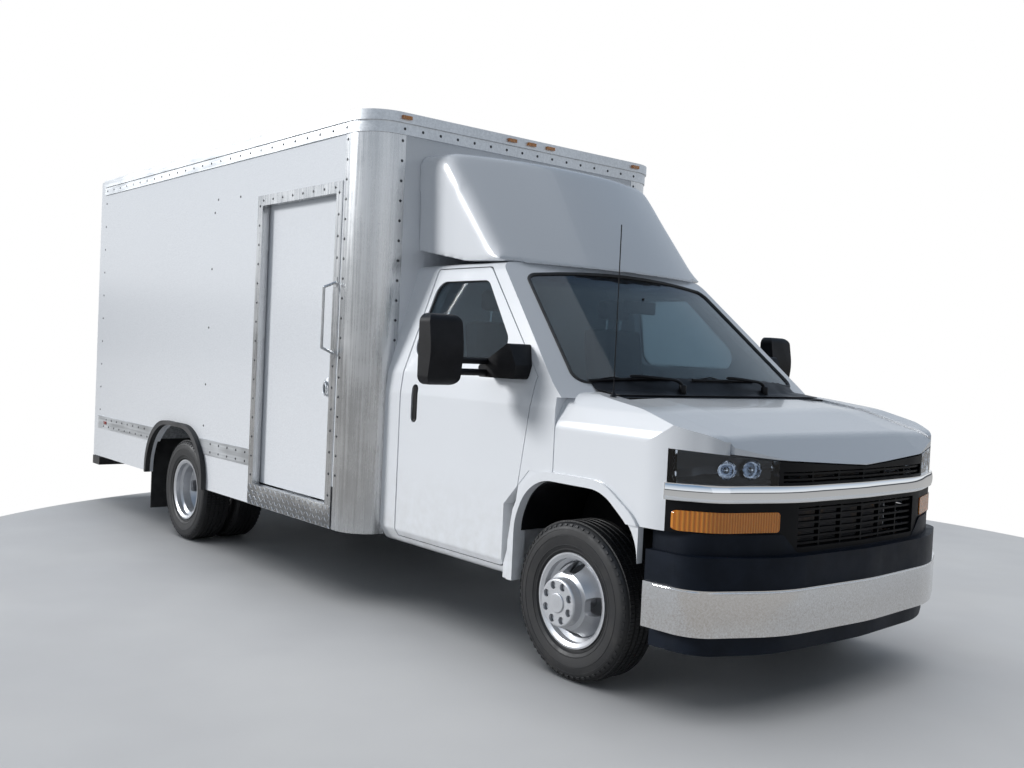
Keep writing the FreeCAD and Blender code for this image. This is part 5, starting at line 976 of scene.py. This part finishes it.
# places in this dictionary are measured from the middle of the latch, on the door's face
rearLatchCare = {"place": (-3.397, 0, 0.862), "base": ((-0.004, -0.090, -0.042), (0.002, 0.090, 0.042)),
                 "baseBevel": 0.0025, "rim": 0.010, "dish": -0.002,
                 "hub": ((-0.020, -0.088, -0.018), (-0.002, -0.054, 0.018)), "hubBevel": 0.005,
                 "lever": ((-0.006, -0.070, 0), (-0.026, -0.070, 0), (-0.034, -0.052, 0), (-0.034, 0.030, 0),
                           (-0.028, 0.052, 0), (-0.006, 0.058, 0)), "leverRadius": 0.0075,
                 "pull": ((0.002, -0.07, 0), (-0.030, -0.07, 0), (-0.034, 0, 0), (-0.030, 0.07, 0),
                          (0.002, 0.07, 0)), "pullY": 0.62, "pullRadius": 0.0065}


def onRearDoor(points, aside=0.0):
    x, y, z = rearLatchCare["place"]
    return [(x + a, y + aside + b, z + c) for a, b, c in points]


def rearLatch():
    care = rearLatchCare
    base = blockPiece("latchBase", *onRearDoor(care["base"]), care["baseBevel"])
    pickFaces(base, lambda face: face.normal.x < -0.9 and face.area > 0.005)
    bpy.ops.mesh.inset(thickness=care["rim"], depth=care["dish"])
    deselectAll()
    lever = tubePiece("latchLever", onRearDoor(care["lever"]), care["leverRadius"])
    hub = blockPiece("latchHub", *onRearDoor(care["hub"]), care["hubBevel"], 3)
    pulls = [tubePiece("doorPull", onRearDoor(care["pull"], sign * care["pullY"]), care["pullRadius"])
             for sign in (-1, 1)]
    return joined([base, lever, hub] + pulls, "rearDoorLatch")


settle(rearLatch(), "galvanised", "chassis", 40)

plateCare = {"low": (-3.423, -0.673, 0.522), "high": (-3.417, -0.367, 0.677), "bevel": 0.0022,
             "rim": 0.008, "dish": -0.0012,
             "bracket": ((-3.419, -0.63, 0.542), (-3.409, -0.41, 0.705)), "bracketBevel": 0.002}
plate = blockPiece("blankPlate", plateCare["low"], plateCare["high"], plateCare["bevel"])
pickFaces(plate, lambda face: face.normal.x < -0.9 and face.area > 0.01)
bpy.ops.mesh.inset(thickness=plateCare["rim"], depth=plateCare["dish"])
deselectAll()
settle(plate, "aluminium", "chassis", 40)
bracket = blockPiece("plateBracket", *plateCare["bracket"], plateCare["bracketBevel"])
settle(bracket, "black_plastic", "chassis", 40)

deckCare = {"pitch": 0.030, "start": (-3.600, -1.095), "rows": 5, "columns": 73, "height": 0.3960}
deckSpots = []
for i in range(deckCare["rows"]):
    for k in range(deckCare["columns"]):
        spot = (deckCare["start"][0] + i * deckCare["pitch"], deckCare["start"][1] + k * deckCare["pitch"],
                deckCare["height"])
        deckSpots.append(Matrix.Translation(spot) @ lozengeLean(i, k))
deck = copiesAt(lozengeModel(), "rearStepTread", deckSpots)
settle(deck, "chassis_black", "chassis", 30)

markCare = {"low": (-3.155, 1.1835, 0.716), "high": (-3.085, 1.1895, 0.744), "bevel": 0.0025}
sideMarks = [blockPiece("sideMark", onSide(markCare["low"], sign), onSide(markCare["high"], sign),
                        markCare["bevel"]) for sign in (-1, 1)]
marks = joined(sideMarks, "rearSideMarkers")
settle(marks, "red_lens", "chassis", 40)
print("rear ready")


# cab seats as crowned cushions with sewn channels; corners are pairs of x and z, width comes from a half

seatCare = {"y": 0.470, "base": ((1.490, 0.852), (1.972, 0.985)), "baseHalf": 0.245,
            "back": ((1.488, 0.900), (1.600, 1.690)), "backHalf": 0.223, "hinge": (1.545, 0, 0.900),
            "lean": 0.130 / 0.85, "rest": ((1.385, 1.742), (1.472, 1.868)), "restHalf": 0.122,
            "posts": ((1.428, 1.66), (1.430, 1.70), (1.432, 1.76)), "postY": 0.06, "postRadius": 0.007,
            "box": ((1.53, 0.742), (1.93, 0.868)), "boxHalf": 0.18, "boxBevel": 0.012,
            "cushionBevel": 0.035, "panel": 0.055, "seamWidth": 0.006, "seamDepth": 0.014,
            "crown": 0.006, "crownInset": 0.02}


def seatCorners(part, middle):
    (x0, z0), (x1, z1) = seatCare[part]
    half = seatCare[part + "Half"]
    return (x0, middle - half, z0), (x1, middle + half, z1)


def cushionForm(name, part, middle, topAxis):
    cushion = blockPiece(name, *seatCorners(part, middle), seatCare["cushionBevel"], 3)
    pickFaces(cushion, lambda face: face.normal[topAxis] > 0.95 and face.area > 0.02)
    bpy.ops.mesh.inset(thickness=seatCare["panel"], depth=seatCare["crown"])
    bpy.ops.mesh.inset(thickness=seatCare["seamWidth"], depth=-seatCare["seamDepth"])
    bpy.ops.mesh.inset(thickness=seatCare["seamWidth"], depth=seatCare["seamDepth"])
    bpy.ops.mesh.subdivide(number_cuts=3)
    bpy.ops.mesh.inset(thickness=seatCare["crownInset"], depth=seatCare["crown"])
    bpy.ops.object.mode_set(mode="OBJECT")
    soften = cushion.modifiers.new("soften", "SUBSURF")
    soften.levels = soften.render_levels = 2
    applyAll(cushion)
    return cushion


def leanBack(piece):
    hinge = Vector(seatCare["hinge"])
    turn = Matrix.Rotation(-math.atan(seatCare["lean"]), 4, "Y")
    piece.data.transform(Matrix.Translation(hinge) @ turn @ Matrix.Translation(-hinge))


def headPosts(name, middle):
    posts = []
    for side in (-1, 1):
        points = [(x, middle + side * seatCare["postY"], z) for x, z in seatCare["posts"]]
        posts.append(tubePiece("post", points, seatCare["postRadius"]))
    return joined(posts, name)


for sideName, sign in sides:
    middle = sign * seatCare["y"]
    seatBase = cushionForm("seatCushion_" + sideName, "base", middle, 2)
    back = cushionForm("seatBack_" + sideName, "back", middle, 0)
    leanBack(back)
    rest = cushionForm("headRest_" + sideName, "rest", middle, 0)
    posts = headPosts("headPosts_" + sideName, middle)
    box = blockPiece("seatBox_" + sideName, *seatCorners("box", middle), seatCare["boxBevel"])
    settle(posts, "chrome", "chassis", 40)
    settle(box, "cabin_plastic", "chassis", 40)
    for soft in (seatBase, back, rest):
        settle(soft, "seat_cloth", "chassis", 60)
        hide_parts("seats")
print("seats ready")


# floor, studio light and camera; the sky is what metal reflects, from below to above

studio = {"ambient": 0.26, "ambientColour": (0.78, 0.88, 1.0),
          "floorCentre": (0.75, 1.0, -0.0005), "floorRadius": 4.75,
          "floorDark": (0.60, 0.60, 0.605), "floorLight": (0.65, 0.65, 0.65),
          "sunPlace": (-6, -6, 7), "sunTravel": (0.60, 0.70, -0.37), "sunStrength": 2.65, "sunAngle": 14,
          "floorTravel": (0.0, 0.12, -1.0), "floorStrength": 1.5, "floorAngle": 75.0,
          "softboxes": (("top", (0.0, 0.0, 9.0), 9.0, 115), ("front", (10.0, -3.0, 3.2), 5.0, 12)),
          "softboxAim": (0, 0, 1.2),
          "sky": ((0.0, (0.56, 0.56, 0.56)), (0.486, (0.46, 0.455, 0.45)), (0.494, (0.07, 0.07, 0.08)),
                  (0.514, (0.08, 0.09, 0.10)), (0.526, (0.92, 0.94, 0.96)), (0.62, (0.66, 0.72, 0.80)),
                  (0.80, (0.26, 0.36, 0.50)), (1.0, (0.16, 0.26, 0.42)))}


def studioFloor():
    deselectAll()
    bpy.ops.mesh.primitive_circle_add(vertices=160, radius=studio["floorRadius"], fill_type="NGON",
                                      location=studio["floorCentre"])
    floor = bpy.context.object
    floor.name = "studioFloor"
    bpy.ops.object.transform_apply(location=True, rotation=True, scale=True)
    material = newFinish("paleFloor", (0.4, 0.4, 0.4), 0.6, Specular_IOR_Level=0.3)
    cloud = noiseAt(material, 0.6, 3)
    wire(material, tintBetween(material, cloud, studio["floorDark"], studio["floorLight"]), "Base Color")
    wire(material, spreadTo(material, noiseAt(material, 2, 4), 0.5, 0.7), "Roughness")
    floor.data.materials.append(material)


# glossy rays see the sky, camera and transmission rays see white, and the rest is the ambient light
def studioWorld():
    world = bpy.data.worlds.new("studioWorld")
    bpy.context.scene.world = world
    world.use_nodes = True
    worldNodes, links = world.node_tree.nodes, world.node_tree.links
    ambient = worldNodes["Background"]
    ambient.inputs["Color"].default_value = (*studio["ambientColour"], 1)
    ambient.inputs["Strength"].default_value = studio["ambient"]
    kinds = ("Background", "Background", "TexCoord", "SeparateXYZ", "MapRange", "ValToRGB", "LightPath",
             "MixShader", "MixShader", "Math")
    made = [worldNodes.new("ShaderNode" + kind) for kind in kinds]
    paper, mirrored, coords, split, height, ramp, path, first, second, clear = made
    paper.inputs["Color"].default_value = (1, 1, 1, 1)
    height.inputs["From Min"].default_value = -1
    clear.operation = "MAXIMUM"
    while len(ramp.color_ramp.elements) < len(studio["sky"]):
        ramp.color_ramp.elements.new(0.5)
    for element, (position, colour) in zip(ramp.color_ramp.elements, studio["sky"]):
        element.position, element.color = position, (*colour, 1)
    links.new(coords.outputs["Generated"], split.inputs[0])
    links.new(split.outputs["Z"], height.inputs["Value"])
    links.new(height.outputs["Result"], ramp.inputs["Fac"])
    links.new(ramp.outputs["Color"], mirrored.inputs["Color"])
    links.new(path.outputs["Is Glossy Ray"], first.inputs[0])
    links.new(ambient.outputs[0], first.inputs[1])
    links.new(mirrored.outputs[0], first.inputs[2])
    links.new(path.outputs["Is Camera Ray"], clear.inputs[0])
    links.new(path.outputs["Is Transmission Ray"], clear.inputs[1])
    links.new(clear.outputs[0], second.inputs[0])
    links.new(first.outputs[0], second.inputs[1])
    links.new(paper.outputs[0], second.inputs[2])
    links.new(second.outputs[0], worldNodes["World Output"].inputs["Surface"])


def softbox(name, place, size, power):
    deselectAll()
    bpy.ops.object.light_add(type="AREA", location=place)
    lamp = bpy.context.object
    lamp.name, lamp.data.size, lamp.data.energy = name, size, power
    lamp.rotation_euler = (Vector(studio["softboxAim"]) - Vector(place)).to_track_quat("-Z", "Y").to_euler()


# a sun that lights either the floor alone or everything else
def sunLamp(name, travel, strength, angle, forFloor):
    deselectAll()
    bpy.ops.object.light_add(type="SUN", location=studio["sunPlace"])
    sun = bpy.context.object
    sun.name, sun.data.energy, sun.data.angle = name, strength, math.radians(angle)
    sun.rotation_euler = Vector(travel).to_track_quat("-Z", "Y").to_euler()
    lit = bpy.data.collections.new(name + "Receivers")
    for piece in bpy.context.scene.objects:
        if piece.type == "MESH" and (piece.name == "studioFloor") == forFloor:
            lit.objects.link(piece)
    sun.light_linking.receiver_collection = lit


studioFloor()
studioWorld()
for name, place, size, power in studio["softboxes"]:
    softbox(name, place, size, power)
sunLamp("sun", studio["sunTravel"], studio["sunStrength"], studio["sunAngle"], False)
sunLamp("floorSun", studio["floorTravel"], studio["floorStrength"], studio["floorAngle"], True)

cameraCare = {"place": (6.123, -4.2707, 1.510), "turn": (88.258, -2.61, 50.209), "lens": 36.36,
              "sensor": 36.0, "farClip": 200}
cameraData = bpy.data.cameras.new("photoCamera")
cameraData.lens, cameraData.sensor_width = cameraCare["lens"], cameraCare["sensor"]
cameraData.clip_end = cameraCare["farClip"]
camera = bpy.data.objects.new("photoCamera", cameraData)
camera.location, camera.rotation_euler = cameraCare["place"], [math.radians(v) for v in cameraCare["turn"]]
bpy.context.scene.collection.objects.link(camera)
bpy.context.scene.camera = camera
bpy.context.scene.view_settings.view_transform = "Standard"
print("studio and camera ready")
